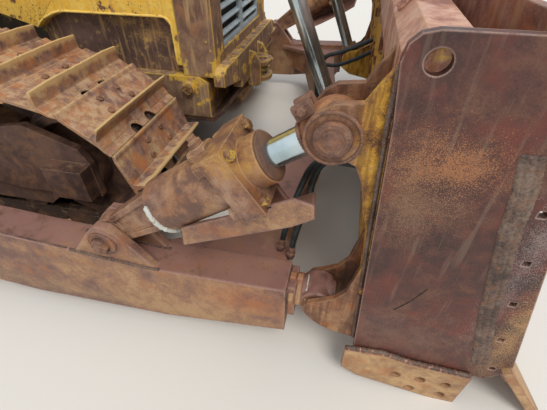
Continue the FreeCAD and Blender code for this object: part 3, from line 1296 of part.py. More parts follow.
def lift_cylinders():
    """Lift cylinders hung by trunnions beside the radiator guard, with their chrome rods."""
    rise = D.lift_eye_z - LIFT_TOP_Z
    run = LIFT_EYE_X - LIFT_TOP_X
    reach = math.hypot(rise.value, run.value)
    hang = LIFT_HALF - D.frame_half + 55
    tube = rod("lift_tube", "x", -D.lift_above, 0, 0, D.lift_barrel_radius, D.lift_above + D.lift_below - 30)
    cap = rod("lift_cap", "x", -D.lift_above - 10, 0, 0, 60, 30)
    gland = rod("lift_gland", "x", D.lift_below - 60, 0, 0, D.lift_barrel_radius + 8, 60)
    band_ring = rod("lift_ring", "x", -60, 0, 0, D.lift_barrel_radius + 3, 120)
    trunnion = rod("lift_trunnion", "y", 0, -hang, 0, 45, hang)
    bore = rod("lift_bore", "x", -D.lift_above + 60, 0, 0, D.lift_rod_radius + D.running_fit,
               D.lift_above + D.lift_below)
    whole = fuse("lift_barrel_solid", [tube, cap, gland, band_ring, trunnion])
    barrel = cut("lift_barrel_cut", whole, [bore])
    left = node(inclined(barrel, LIFT_TOP_X, LIFT_HALF, LIFT_TOP_Z, rise, run, "lift_barrel_left"),
                "lift_barrel_left")
    node(mirrored(left), "lift_barrel_right")
    shaft = rod("lift_shaft", "x", D.lift_below - 120, 0, 0, D.lift_rod_radius, reach - D.lift_below + 120 - 40)
    neck = cone("lift_neck", "x", reach - 110, 0, 0, 44, 52, 70)
    knob = ball("lift_ball", reach, 0, 0, 62)
    trim = box("lift_trim", reach - 70, reach + 70, -46, 46, -70, 70)
    flat = doc.addObject("Part::MultiCommon", "lift_rod_eye")
    flat.Shapes = [knob, trim]
    piece = fuse("lift_rod_solid", [shaft, neck, flat])
    left = node(inclined(piece, LIFT_TOP_X, LIFT_HALF, LIFT_TOP_Z, rise, run, "lift_rod_left"),
                "lift_rod_left")
    node(mirrored(left), "lift_rod_right")


def build():
    tracks()
    idlers()
    sprockets()
    final_drives()
    track_frames()
    rollers()
    main_frame()
    belly_guard()
    engine()
    radiator_guard()
    grille()
    nose_crossmember()
    hood()
    side_panels()
    engine_doors()
    rear_case()
    drawbar()
    tanks()
    platform()
    cowl()
    seat()
    controls()
    canopy()
    stacks()
    lamps()
    equalizer()
    push_frame()
    moldboard()
    blade_back()
    end_plates()
    cutting_edges()
    blade_lugs()
    tilt_cylinders()
    lift_cylinders()


def check():
    """Stops the build when any object failed or any sub-part has no sound shape."""
    for obj in doc.Objects:
        if "Invalid" in obj.State or "Error" in obj.State:
            raise RuntimeError("%s did not compute" % obj.Name)
    labels = [obj.Label for obj in NODES]
    if len(set(labels)) != len(labels):
        raise RuntimeError("two sub-parts share a name")
    for obj in NODES:
        if obj.Shape.isNull() or not obj.Shape.isValid() or not obj.Shape.Solids:
            raise RuntimeError("%s has no sound solid" % obj.Label)


def write():
    os.makedirs("parts", exist_ok=True)
    for obj in NODES:
        obj.Shape.exportStep("parts/%s.step" % obj.Label)


build()
doc.recompute()
check()
write()
print("wrote %d sub-parts" % len(NODES))
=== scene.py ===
import math

import bpy
import numpy as np
from mathutils import Matrix, Vector


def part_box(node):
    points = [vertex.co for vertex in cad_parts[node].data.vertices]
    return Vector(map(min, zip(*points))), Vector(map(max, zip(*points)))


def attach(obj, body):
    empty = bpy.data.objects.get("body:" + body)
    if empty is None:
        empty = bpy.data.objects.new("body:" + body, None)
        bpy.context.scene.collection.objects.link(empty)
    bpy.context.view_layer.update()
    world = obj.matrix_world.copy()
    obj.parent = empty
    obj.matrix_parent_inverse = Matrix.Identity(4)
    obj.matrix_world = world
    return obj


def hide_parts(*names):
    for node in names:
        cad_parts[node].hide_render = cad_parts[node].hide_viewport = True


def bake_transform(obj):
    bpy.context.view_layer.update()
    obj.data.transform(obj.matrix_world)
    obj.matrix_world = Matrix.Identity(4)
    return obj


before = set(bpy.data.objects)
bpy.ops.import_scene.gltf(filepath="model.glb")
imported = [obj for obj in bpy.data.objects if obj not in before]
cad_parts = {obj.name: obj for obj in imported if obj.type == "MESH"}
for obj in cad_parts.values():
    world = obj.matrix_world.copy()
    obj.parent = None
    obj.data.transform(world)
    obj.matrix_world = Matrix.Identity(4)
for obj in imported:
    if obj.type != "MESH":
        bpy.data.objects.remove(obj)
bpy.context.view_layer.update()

bl_info = {
    "name": "Crawler bulldozer finish",
    "version": (1, 0, 0),
    "blender": (4, 5, 0),
    "location": "3D View > Sidebar > Bulldozer",
    "description": "Dresses the bulldozer frame with worn steel, old enamel and small fittings",
    "category": "Object",
}

# The camera stands close above the front right corner and looks down at the push arm.
CAMERA_RIGHT = (0.9763, 0.2164, 0.0)
CAMERA_UP = (-0.1414, 0.6379, 0.7570)
SENSOR_MM = 36.0
FOCAL_PIXELS = 347.0
PICTURE_WIDTH = 547

# Wheels that the chain passes round: the idler, the rear track roller, the sprocket and the two upper
# rollers. Each has x, z and the radius at the chain's pins, in metres.
CHAIN_WHEELS = (
    (0.823, 0.526, 0.380),
    (-1.834, 0.301, 0.155),
    (-2.277, 0.690, 0.4785),
    (-1.050, 0.975, 0.130),
    (0.150, 0.894, 0.130),
)
SPROCKET = CHAIN_WHEELS[2]
CHAIN_PITCH = 0.229
TRACK_MIDDLE = 1.042
BLADE_CORNER = 1.675

# A shoe's plate stands this far above the pins. Its bolts are (share of the pitch, metres from the middle),
# and its tail ends at this share. The bar's middle, half foot and half top are shares of the pitch too.
PLATE_RISE = 0.076
SHOE_BOLTS = ((0.245, -0.068), (0.245, 0.068), (0.555, -0.090), (0.555, 0.090))
SHOE_TAIL = 1.175
BAR_MIDDLE, BAR_HALF_FOOT, BAR_HALF_TOP = 0.765, 0.083, 0.023

# Round notches behind the bar: half their width, how far they stand from the shoe's middle, and the share
# of the pitch where they may begin.
NOTCH_HALF = 0.035
NOTCH_FROM_MIDDLE = 0.064
NOTCH_START = 0.85

# The two strips of links stand this far from a chain's middle; every second link is set over by a little.
LINK_STRIP = 0.0725
LINK_SET_OVER = 0.003

# Pins of the tilt and lift cylinders: (x, z) at the foot and at the head, and how far from the middle.
TILT_FOOT, TILT_HEAD, TILT_HALF = (1.274, 0.586), (2.104, 1.143), 1.560
LIFT_FOOT, LIFT_HEAD, LIFT_HALF = (1.447, 2.200), (2.113, 0.620), 0.645

# The lift rod's stretch inside its barrel, metres from the trunnion: long enough to stay in the gland when
# the blade is lowest, and short of the blind end when it is highest.
ROD_END, ROD_JOIN = 0.180, 0.560
SHANK_RADIUS = 0.0398

# Places along a cylinder from its foot pin, some with a radius or a reach to the side: the flange and the
# gland of the tilt barrel, its painted weld ring, its seam, and the gland end of the lift barrel.
TILT_FLANGE, TILT_FLANGE_BOLT = 0.725, 0.088
TILT_GLAND = 0.782
WELD_RING, WELD_RING_RADIUS = 0.330, 0.104
TILT_SEAM, TILT_SEAM_RADIUS = 0.639, 0.103
LIFT_GLAND = 0.640

# Middle of the split collars on a push arm's ball socket, and the stations of its parts along x.
SOCKET_Y, SOCKET_Z = 1.56, 0.403
SOCKET_COLLARS, SOCKET_KEY, SOCKET_RING = (2.0345, 2.006), 2.004, 2.073

# The tilt cylinder's foot pin: where its ring and its nut stand on the push arm's side, metres from the
# machine's middle.
PIN_RING_Y, PIN_NUT_Y = 1.6498, 1.6535

# Small fittings of the body and their places: the recess's lip, the guard's boss, the door latches, the lamp
# above the grille, the roof lamps, and each lever with the heights of its grip and its boot.
RECESS_Y = 0.5600
GUARD_BOSS = (1.203, -0.5795, 0.766)
LATCH_XS, LATCH_Y, LATCH_Z = (-0.44, 0.16), 0.5685, 1.50
NOSE_LAMP = (1.3705, -0.38, 2.395)
ROOF_LAMP_FRONT, ROOF_LAMP_REAR, ROOF_LAMP_Z, ROOF_LAMP_INSET = -0.7495, -2.4305, 3.455, 0.075
LEVERS = ((-1.150, -0.535, 2.2400, 2.0395), (-1.180, 0.535, 2.2200, 2.0395))

# The seat's stuffed pads: name, half sizes, lean in degrees, middle, mesh width, most that air may swell it,
# fullness, the axis that its sewn face looks along, and the depth of its channels.
SEAT_LEAN = -12
ARM_Y = 0.325
ARM_PAD = (0.215, 0.030, 0.019)
SEAT_PADS = (
    ("seat_cushion", (0.225, 0.245, 0.055), -4, (-1.445, 0.0, 1.852), 0.006, 0.018, 0.75, 2, 0.007),
    ("seat_back_cushion", (0.048, 0.235, 0.300), SEAT_LEAN, (-1.762, 0.0, 2.185), 0.006, 0.016, 0.75, 0,
     0.006),
    ("armrest_pad_right", ARM_PAD, 0, (-1.478, -ARM_Y, 2.103), 0.005, 0.006, 0.9, 2, 0.0),
    ("armrest_pad_left", ARM_PAD, 0, (-1.478, ARM_Y, 2.103), 0.005, 0.006, 0.9, 2, 0.0),
)
SEAT_CHANNELS = (-0.085, 0.085)

# The stage: half the floor's side, the tint of the sky and of the sun, where the sun stands and how wide it
# looks in degrees.
FLOOR_HALF = 60.0
SKY_TINT = (0.93, 0.96, 1.0)
SUN_TINT = (1.0, 0.965, 0.91)
SUN_WAY = (0.30, -0.55, 0.9)
SUN_WIDTH = 25

# Size of the finest speckle inside a rubbed mark, in millimetres.
SPECKLE_MM = 2.8

# Each hose's route from the push frame to the blade, x, y, z. Two stand beside the near tilt cylinder and
# two near the machine's middle.
HOSE_RADIUS = 0.0125
HOSE_ROUTES = (
    ("tilt_hose_a", ((1.985, -1.435, 0.470), (1.998, -1.435, 0.600), (2.040, -1.435, 0.740),
                     (2.048, -1.435, 0.900), (2.110, -1.440, 0.975), (2.262, -1.445, 0.985))),
    ("tilt_hose_b", ((1.935, -1.400, 0.470), (1.960, -1.395, 0.620), (2.000, -1.385, 0.780),
                     (2.040, -1.380, 0.900), (2.115, -1.380, 0.920), (2.262, -1.380, 0.900))),
    ("middle_hose_a", ((1.930, -0.080, 0.465), (1.900, -0.090, 0.640), (1.930, -0.100, 0.860),
                       (2.060, -0.100, 0.885), (2.262, -0.100, 0.990))),
    ("middle_hose_b", ((1.965, -0.020, 0.465), (1.900, -0.030, 0.560), (1.900, -0.030, 0.790),
                       (2.060, -0.030, 0.770), (2.262, -0.030, 0.900))),
)


def linear(code):
    """An sRGB hex code as linear red, green and blue."""
    values = [int(code[i:i + 2], 16) / 255 for i in (1, 3, 5)]
    return tuple(v / 12.92 if v <= 0.04045 else ((v + 0.055) / 1.055) ** 2.4 for v in values)


def rgba(code):
    """An sRGB hex code as linear red, green and blue with full opacity."""
    return (*linear(code), 1.0)


def per_metre(size_mm):
    """Noise scale that gives marks of about this size."""
    return 1000.0 / size_mm


def add(tree, kind, inputs=(), out=0, stops=(), **settings):
    """Adds one node with its settings, feeds its sockets and returns the output that is asked for."""
    node = tree.nodes.new(kind)
    for name, value in settings.items():
        setattr(node, name, value)
    for key, value in dict(inputs).items():
        if isinstance(value, bpy.types.NodeSocket):
            tree.links.new(value, node.inputs[key])
        else:
            node.inputs[key].default_value = value
    if stops:
        ramp = node.color_ramp
        while len(ramp.elements) < len(stops):
            ramp.elements.new(0.5)
        for element, (position, code) in zip(ramp.elements, stops):
            element.position = position
            element.color = rgba(code)
    return node.outputs[out]


def blank_material(name, base):
    """A new material with its node tree and its Principled shader."""
    material = bpy.data.materials.new(name)
    material.use_nodes = True
    material.diffuse_color = rgba(base)
    tree = material.node_tree
    shader = next(node for node in tree.nodes if node.type == "BSDF_PRINCIPLED")
    return material, tree, shader


def weathered(name, tones, rough=(0.6, 0.9), patch_mm=420, blotch_mm=55, grain_mm=5, spread=0.07,
              bloom=None, bloom_share=0.25, paint=None, faded=None, paint_share=0.5, chip_mm=70,
              edge=None, edge_mm=5, edge_share=0.6, dust=None, dust_share=0.4, streak=None,
              streak_share=0.3, bump_mm=0.7, cracks=None, crack_mm=90, seed=0.0, marks=(), zones=(),
              worn=None):
    """Steel that has stood outside, built up from the metal outwards.

    The rust's colour runs through the tones by patches, blotches and grain. Over it come fresh rust blooms,
    what is left of the paint, run-down streaks, dust on what faces up, and last the edge colour: worn edges,
    and on the recessed panel a painted highlight along its edges. A mark is (point, half sizes, colour,
    share):
    a rubbed spot that fades out from its middle. A zone is (low corner, high corner, colours, share,
    ragged_mm)
    on both sides of the machine: a field with a ragged border. worn is the colour where the piece's own
    attribute of that name is high. Each layer is (mask, share, colour), and the layers are laid on in their
    order at the end.
    """
    material, tree, shader = blank_material(name, tones[1])
    place = add(tree, "ShaderNodeTexCoord", out="Object")
    # Noise fields: label, made if, size in millimetres, detail, place on the fourth axis, warp.
    fields = {}
    for label, wanted, size_mm, detail, shift, warp in (
            ("patches", True, patch_mm, 3.0, 0.0, 0.0),
            ("blotches", True, blotch_mm, 6.0, 3.1, 0.4),
            ("grains", True, grain_mm, 2.0, 7.7, 0.0),
            ("specks", True, grain_mm * 2.3, 3.0, 11.3, 0.0),
            ("blooms", bloom, blotch_mm * 2.2, 5.0, 17.9, 0.6),
            ("chips", paint, chip_mm, 9.0, 23.3, 0.2),
            ("rubs", edge, blotch_mm * 0.7, 4.0, 31.1, 0.0),
            ("speckle", marks, SPECKLE_MM, 2.0, 41.0, 0.0)):
        if wanted:
            fields[label] = add(tree, "ShaderNodeTexNoise", {
                "Vector": place, "W": seed + shift, "Scale": per_metre(size_mm), "Detail": detail,
                "Roughness": 0.65, "Distortion": warp}, noise_dimensions="4D")
    # Masks: label, made if, the field, the level that it has to pass, half the width of its soft border.
    masks = {}
    for label, wanted, field, limit, soft in (
            ("fine", True, "grains", 0.62, 0.08),
            ("dark", True, "specks", 0.60, 0.05),
            ("spots", bloom, "blooms", 0.5 + (0.5 - bloom_share) * 0.3, 0.08),
            ("sheen", paint, "blotches", 0.5, 0.15),
            ("crazed", cracks, "patches", 0.5, 0.05),
            ("dusty", dust, "blotches", 0.5 + (0.5 - dust_share) * 0.25, 0.08),
            ("broken", edge, "rubs", 0.5 + (0.5 - edge_share) * 0.3, 0.07)):
        if wanted:
            masks[label] = add(tree, "ShaderNodeMapRange", {
                "Value": fields[field], "From Min": limit - soft, "From Max": limit + soft})
    patches, blotches, grains = fields["patches"], fields["blotches"], fields["grains"]
    level = add(tree, "ShaderNodeMath", {0: blotches, 1: 0.4}, operation="MULTIPLY")
    level = add(tree, "ShaderNodeMath", {0: patches, 1: 0.45, 2: level}, operation="MULTIPLY_ADD")
    level = add(tree, "ShaderNodeMath", {0: grains, 1: 0.15, 2: level}, operation="MULTIPLY_ADD")
    colour = add(tree, "ShaderNodeValToRGB", {"Fac": level}, stops=[
        (0.5 + spread * (step - (len(tones) - 1) / 2), code) for step, code in enumerate(tones)])
    layers = [(masks["fine"], 0.22, rgba(tones[-1])), (masks["dark"], 0.5, rgba(tones[0]))]
    if bloom:
        layers.append((masks["spots"], 0.75, rgba(bloom)))
    roughness = add(tree, "ShaderNodeMapRange", {
        "Value": level, "From Min": 0.38, "From Max": 0.62, "To Min": rough[0], "To Max": rough[1]})
    height = add(tree, "ShaderNodeMath", {0: blotches, 1: 1.5, 2: grains}, operation="MULTIPLY_ADD")
    bevel = add(tree, "ShaderNodeBevel", {"Radius": edge_mm / 1000}, samples=4)
    flat = add(tree, "ShaderNodeNewGeometry", out="Normal")
    agree = add(tree, "ShaderNodeVectorMath", {0: bevel, 1: flat}, out="Value", operation="DOT_PRODUCT")
    corner = add(tree, "ShaderNodeMapRange", {"Value": agree, "From Min": 0.985, "From Max": 0.80})
    if paint:
        limit = 0.675 + (0.5 - paint_share) * 0.28
        kept = add(tree, "ShaderNodeMath", {0: corner, 1: -0.16, 2: fields["chips"]},
                   operation="MULTIPLY_ADD")
        kept = add(tree, "ShaderNodeMath", {0: patches, 1: 0.35, 2: kept}, operation="MULTIPLY_ADD")
        left = add(tree, "ShaderNodeMapRange", {
            "Value": kept, "From Min": limit - 0.012, "From Max": limit + 0.012})
        enamel = add(tree, "ShaderNodeMix", {0: masks["sheen"], 6: rgba(paint), 7: rgba(faded or paint)},
                     out=2, data_type="RGBA")
        grime = add(tree, "ShaderNodeMath", {0: masks["dark"], 1: 0.35}, operation="MULTIPLY")
        enamel = add(tree, "ShaderNodeMix", {0: grime, 6: enamel, 7: rgba(tones[1])}, out=2,
                     data_type="RGBA")
        layers.append((left, 1.0, enamel))
        roughness = add(tree, "ShaderNodeMix", {0: left, 2: roughness, 3: 0.5})
        height = add(tree, "ShaderNodeMath", {0: left, 1: 0.6, 2: height}, operation="MULTIPLY_ADD")
    if cracks:
        drift = add(tree, "ShaderNodeTexNoise", {"Vector": place, "Scale": per_metre(crack_mm * 0.6)},
                    out="Color")
        warped = add(tree, "ShaderNodeVectorMath", {0: place, 1: drift}, operation="MULTIPLY")
        cells = add(tree, "ShaderNodeTexVoronoi", {"Vector": warped, "Scale": per_metre(crack_mm)},
                    feature="DISTANCE_TO_EDGE")
        line = add(tree, "ShaderNodeMapRange", {"Value": cells, "From Min": 0.03, "From Max": 0.01})
        layers.append((line, masks["crazed"], rgba(cracks)))
    if zones:
        mirror = add(tree, "ShaderNodeVectorMath", {0: place}, operation="ABSOLUTE")
        folded = add(tree, "ShaderNodeCombineXYZ", {
            "X": add(tree, "ShaderNodeSeparateXYZ", {0: place}, out="X"),
            "Y": add(tree, "ShaderNodeSeparateXYZ", {0: mirror}, out="Y"),
            "Z": add(tree, "ShaderNodeSeparateXYZ", {0: place}, out="Z")})
    for low, high, tone, share, ragged in zones:
        middle = tuple((a + b) / 2 for a, b in zip(low, high))
        half = tuple((b - a) / 2 for a, b in zip(low, high))
        away = add(tree, "ShaderNodeVectorMath", {0: folded, 1: middle}, operation="SUBTRACT")
        away = add(tree, "ShaderNodeVectorMath", {0: away}, operation="ABSOLUTE")
        away = add(tree, "ShaderNodeVectorMath", {0: away, 1: half}, operation="SUBTRACT")
        axes = [add(tree, "ShaderNodeSeparateXYZ", {0: away}, out=axis) for axis in "XYZ"]
        reach = add(tree, "ShaderNodeMath", {0: axes[0], 1: axes[1]}, operation="MAXIMUM")
        reach = add(tree, "ShaderNodeMath", {0: reach, 1: axes[2]}, operation="MAXIMUM")
        wander = add(tree, "ShaderNodeMath", {0: blotches, 1: 0.5}, operation="SUBTRACT")
        reach = add(tree, "ShaderNodeMath", {0: wander, 1: ragged / 250, 2: reach}, operation="MULTIPLY_ADD")
        inside = add(tree, "ShaderNodeMapRange", {
            "Value": reach, "From Min": ragged / 4000, "From Max": -ragged / 4000 - 0.0005})
        field = add(tree, "ShaderNodeValToRGB", {"Fac": level}, stops=[
            (0.5 + 0.05 * (step - (len(tone) - 1) / 2), code) for step, code in enumerate(tone)])
        layers.append((inside, share, field))
        held = add(tree, "ShaderNodeMath", {0: inside, 1: share}, operation="MULTIPLY")
        roughness = add(tree, "ShaderNodeMix", {0: held, 2: roughness, 3: 0.72})
    facing = add(tree, "ShaderNodeSeparateXYZ", {0: flat}, out="Z")
    if streak:
        limit = 0.5 + (0.5 - streak_share) * 0.3
        stretched = add(tree, "ShaderNodeMapping", {"Vector": place, "Scale": (1.0, 1.0, 0.09)})
        runs = add(tree, "ShaderNodeTexNoise", {"Vector": stretched, "Scale": per_metre(22), "Detail": 4.0})
        runs = add(tree, "ShaderNodeMapRange", {
            "Value": runs, "From Min": limit - 0.06, "From Max": limit + 0.06})
        leaning = add(tree, "ShaderNodeMath", {0: facing}, operation="ABSOLUTE")
        upright = add(tree, "ShaderNodeMapRange", {"Value": leaning, "From Min": 0.65, "From Max": 0.25})
        runs = add(tree, "ShaderNodeMath", {0: runs, 1: upright}, operation="MULTIPLY")
        layers.append((runs, 0.6, rgba(streak)))
    for point, half, code, share in marks:
        moved = add(tree, "ShaderNodeVectorMath", {0: place, 1: point}, operation="SUBTRACT")
        scaled = add(tree, "ShaderNodeVectorMath", {0: moved, 1: tuple(1 / size for size in half)},
                     operation="MULTIPLY")
        reach = add(tree, "ShaderNodeVectorMath", {0: scaled}, out="Value", operation="LENGTH")
        reach = add(tree, "ShaderNodeMath", {0: blotches, 1: -2.2, 2: reach}, operation="MULTIPLY_ADD")
        reach = add(tree, "ShaderNodeMath", {0: fields["speckle"], 1: -7.0, 2: reach},
                    operation="MULTIPLY_ADD")
        spot = add(tree, "ShaderNodeMapRange", {"Value": reach, "From Min": -3.95, "From Max": -4.6})
        layers.append((spot, share, rgba(code)))
    if dust:
        lying = add(tree, "ShaderNodeMapRange", {"Value": facing, "From Min": 0.55, "From Max": 0.95})
        lying = add(tree, "ShaderNodeMath", {0: lying, 1: masks["dusty"]}, operation="MULTIPLY")
        layers.append((lying, 0.8, rgba(dust)))
    # Edge colour: worn edges; on the recessed panel it is a painted highlight.
    if edge:
        layers.append((corner, masks["broken"], rgba(edge)))
    if worn:
        rub = add(tree, "ShaderNodeAttribute", out="Fac", attribute_name="worn")
        rub = add(tree, "ShaderNodeMath", {0: blotches, 1: 0.9, 2: rub}, operation="MULTIPLY_ADD")
        rub = add(tree, "ShaderNodeMapRange", {"Value": rub, "From Min": 0.75, "From Max": 1.15})
        layers.append((rub, 0.85, rgba(worn)))
    for mask, share, top in layers:
        weight = add(tree, "ShaderNodeMath", {0: mask, 1: share}, operation="MULTIPLY")
        colour = add(tree, "ShaderNodeMix", {0: weight, 6: colour, 7: top}, out=2, data_type="RGBA")
    bump = add(tree, "ShaderNodeBump", {
        "Strength": 1.0, "Distance": bump_mm / 1000, "Height": height, "Normal": bevel})
    tree.links.new(colour, shader.inputs["Base Color"])
    tree.links.new(roughness, shader.inputs["Roughness"])
    tree.links.new(bump, shader.inputs["Normal"])
    return material


def old_enamel():
    """Sprayed enamel on sheet steel, sun-bleached and chalky, with dusty scratches and rust at its chips."""
    return weathered("sprayed_enamel_on_sheet_steel", ("#5E4130", "#80583A", "#9A7048"), (0.5, 0.8),
                     paint="#E0AE36", faded="#E9C45C", paint_share=0.93, chip_mm=60, edge="#F0D27A",
                     edge_mm=4, dust="#D2B88C", streak="#B98A3C", streak_share=0.15, bump_mm=0.35, seed=1.0)


def cracked_enamel():
    """Thick enamel that has crazed: dark lines wander through the yellow."""
    return weathered("crazed_enamel_on_steel", ("#5A3E2C", "#7C5536", "#96693F"), (0.5, 0.8),
                     paint="#D9A533", faded="#E2BC55", paint_share=0.84, cracks="#6B4A1E", crack_mm=120,
                     edge="#8A6A34", dust="#C0A478", bump_mm=0.4, seed=2.0)


def recessed_panel():
    """Sprayed enamel; the pressed recess in it has lost its paint to a smooth brown oxide, rubbed to tan. A
    strong light yellow on every edge is a painted highlight along the folds.
    """
    # The light yellow edge colour, strong and on every edge, is a painted highlight along the panel's folds.
    return weathered("enamel_with_oxidised_recess", ("#5E4130", "#80583A", "#9A7048"), (0.5, 0.8),
                     paint="#E0AE36", faded="#E9C45C", paint_share=0.93, chip_mm=60, edge="#F2D468",
                     edge_mm=6, edge_share=1.0, dust="#D2B88C", streak="#B98E58", streak_share=0.12,
                     bump_mm=0.3, seed=3.0, zones=(
                         ((-2.0, 0.0, 0.5), (1.30, 0.5035, 1.30), ("#4B372F", "#5B443A", "#6A5044"), 1.0, 2),
                     ), marks=(
                         ((1.02, -0.50, 1.04), (0.16, 0.3, 0.05), "#B48C54", 0.8),
                         ((0.86, -0.50, 1.09), (0.16, 0.3, 0.035), "#C09A5C", 0.7),
                         ((1.02, 0.50, 1.04), (0.16, 0.3, 0.05), "#B48C54", 0.6),
                     ))


def chipped_guard():
    """Heavy plate that has lost most of its yellow to knocks: brown oxide below, paint left in flakes."""
    return weathered("flaked_enamel_on_plate", ("#66493A", "#826450", "#987A5C"), (0.6, 0.9),
                     paint="#D2A032", faded="#DDB650", paint_share=0.26, chip_mm=110, bloom="#A8734A",
                     bloom_share=0.12, edge="#E6BC44", edge_mm=14, edge_share=1.0, dust="#B99A6C",
                     streak="#C0A070", streak_share=0.15, bump_mm=0.8, seed=4.0)


def shoe_rust():
    """Forged track steel with a live orange rust that feet and gravel have rubbed to tan."""
    return weathered("rusted_forged_track_steel", ("#6E5148", "#8E7063", "#A37A58", "#B89A76"), (0.55, 0.85),
                     patch_mm=200, blotch_mm=38, grain_mm=4, spread=0.045, bloom="#B26E3A", bloom_share=0.3,
                     edge="#CDB07C", edge_mm=7, edge_share=0.8, dust="#B8A088", dust_share=0.3,
                     bump_mm=1.4, seed=5.0, worn="#D0B07A")


def frame_rust_and_shade():
    """Cast and welded frame under years of oily dirt: dark chocolate brown with a little sheen. Its dark
    tones are partly painted shade, taken from the idler and track frame that stand in the shadow under the
    track.
    """
    # Dark tones: oily dirt, and painted shade for the idler and frame in the shadow under the track.
    return weathered("oily_frame_steel_and_painted_shade", ("#3E2C26", "#523A31", "#664A3C"), (0.5, 0.85),
                     patch_mm=300, blotch_mm=50, bloom="#7C573C", bloom_share=0.22, edge="#8A684C",
                     edge_mm=7, edge_share=0.6, dust="#7A604C", dust_share=0.3, bump_mm=1.0, seed=7.0)


def arm_rust():
    """Push arms of thick plate: mauve brown skin above, tan and orange where soil rubs the sides."""
    return weathered("rubbed_arm_plate", ("#684840", "#82604F", "#967053", "#A88562"), (0.45, 0.8),
                     patch_mm=500, blotch_mm=70, grain_mm=4, spread=0.045, bloom="#9C6038", bloom_share=0.15,
                     edge="#B08A80", edge_mm=16, edge_share=0.8, dust="#86605A", dust_share=0.7,
                     bump_mm=0.8, seed=8.0, marks=(
                         ((1.86, -1.64, 0.36), (0.22, 0.3, 0.1), "#A65826", 0.7),
                         ((1.10, -1.64, 0.18), (1.2, 0.3, 0.07), "#A98A62", 0.6),
                     ))


def lug_paint():
    """Lugs and brackets: bare brown knuckles; the plate beside the blade keeps blotched, dripping yellow."""
    return weathered("dripping_enamel_on_lugs", ("#5A3D30", "#74503C", "#8C6448", "#A07A56"), (0.55, 0.85),
                     patch_mm=300, blotch_mm=45, grain_mm=4, spread=0.045, bloom="#9E5E30", bloom_share=0.25,
                     edge="#A9876C", edge_mm=7, edge_share=0.7, streak="#4E2C1A", streak_share=0.42,
                     bump_mm=1.0, seed=8.5, zones=(
                         ((2.160, 1.60, 0.66), (2.40, 1.70, 1.36),
                          ("#4A2C1C", "#B07C2C", "#DCA836", "#E4B850"), 0.92, 60),
                         ((1.90, 0.50, 0.40), (2.40, 0.80, 0.90),
                          ("#7A4A24", "#CC9630", "#E0AE3C", "#E8C060"), 0.9, 60),
                     ))


def blade_rust_and_shade():
    """Blade plate with a tight maroon oxide, satin, scuffed to tan where loads have rubbed it. Its very dark
    tones are partly painted shade for the end plate's side turned from the sun.
    """
    # The darkest tones are partly real maroon oxide and partly painted shade on the end plate.
    return weathered("maroon_blade_plate_and_painted_shade", ("#38211E", "#482A24", "#56342B", "#644334"), (0.45, 0.72),
                     patch_mm=380, blotch_mm=60, grain_mm=4, spread=0.05, bloom="#6A3026", bloom_share=0.25,
                     edge="#C3A394", edge_mm=7, edge_share=0.9, streak="#6E5648", streak_share=0.08,
                     bump_mm=0.7, seed=9.0, marks=(
                         ((2.33, -1.675, 1.10), (0.17, 0.2, 0.13), "#8A6448", 0.6),
                         ((2.38, -1.675, 1.12), (0.13, 0.2, 0.08), "#AC7044", 0.7),
                         ((2.34, -1.675, 0.98), (0.11, 0.2, 0.12), "#86694E", 0.6),
                         ((2.40, -1.675, 0.40), (0.30, 0.2, 0.17), "#7A6054", 0.5),
                         ((2.77, -1.675, 0.55), (0.07, 0.2, 0.45), "#B08A5C", 0.8),
                         ((2.66, -1.675, 0.95), (0.05, 0.2, 0.40), "#8A7A76", 0.8),
                         ((2.36, 1.675, 1.10), (0.14, 0.2, 0.12), "#A0703F", 0.7),
                     ))


def blade_face_painted_light():
    """Front of the blade: scoured mauve brown plate with rubbed orange and tan bands. Its tones are set
    lighter than the end plates' as painted light for the face lit from the front.
    """
    # Lighter tones than the end plates: painted light for the lit face, over real rubbed orange and tan.
    return weathered("scoured_blade_face_painted_light", ("#6A4640", "#8A5F54", "#A27466", "#B48F70"), (0.4, 0.75),
                     patch_mm=420, blotch_mm=60, grain_mm=4, spread=0.05, bloom="#B0683A", bloom_share=0.3,
                     edge="#D0B0A0", edge_mm=7, edge_share=0.9, streak="#B08A6C", streak_share=0.2,
                     bump_mm=0.8, seed=9.5)


def back_paint():
    """Back of the blade: deep yellow enamel eaten by rust that runs down from its blisters."""
    return weathered("blistered_enamel_on_plate", ("#5A3524", "#7C4B2E", "#9A6A40"), (0.55, 0.85),
                     paint="#DCA232", faded="#E2B456", paint_share=0.62, chip_mm=60, streak="#7C4524",
                     streak_share=0.25, bloom="#9A5228", edge="#D8B070", edge_mm=6, bump_mm=0.9, seed=10.0,
                     zones=(
                         ((2.10, 0.0, 1.17), (2.80, 1.66, 1.46), ("#8A5C50", "#B08070", "#C4998A", "#CFAE9C"),
                          0.92, 50),
                     ))


def edge_rust():
    """Hardened cutting steel, scoured pale tan by soil with a pink brown bruise along its rim."""
    return weathered("scoured_edge_steel", ("#8A684A", "#A98660", "#BE9A6E"), (0.5, 0.8),
                     patch_mm=240, blotch_mm=35, grain_mm=4, bloom="#A0643C", bloom_share=0.2,
                     edge="#A26A58", edge_mm=12, edge_share=0.9, bump_mm=1.1, seed=11.0)


def barrel_steel():
    """Drawn cylinder tube with a smooth brown oxide, handled and oily enough to shine softly."""
    return weathered("oiled_cylinder_tube", ("#5A4036", "#7A5848", "#8E6C58", "#A07E64"), (0.35, 0.6),
                     patch_mm=180, blotch_mm=60, grain_mm=4, spread=0.04, bloom="#9A6238", bloom_share=0.15,
                     edge="#C09A74", edge_mm=6, edge_share=0.8, bump_mm=0.4, seed=12.0, zones=(
                         ((1.72, 1.40, 0.99), (2.00, 1.70, 1.30), ("#7A5640", "#A87C44", "#C2963E"), 0.6, 90),
                         ((1.60, 1.40, 0.60), (1.78, 1.70, 1.20),
                          ("#6E4E40", "#9C7048", "#B08A54"), 0.45, 90),
                     ))


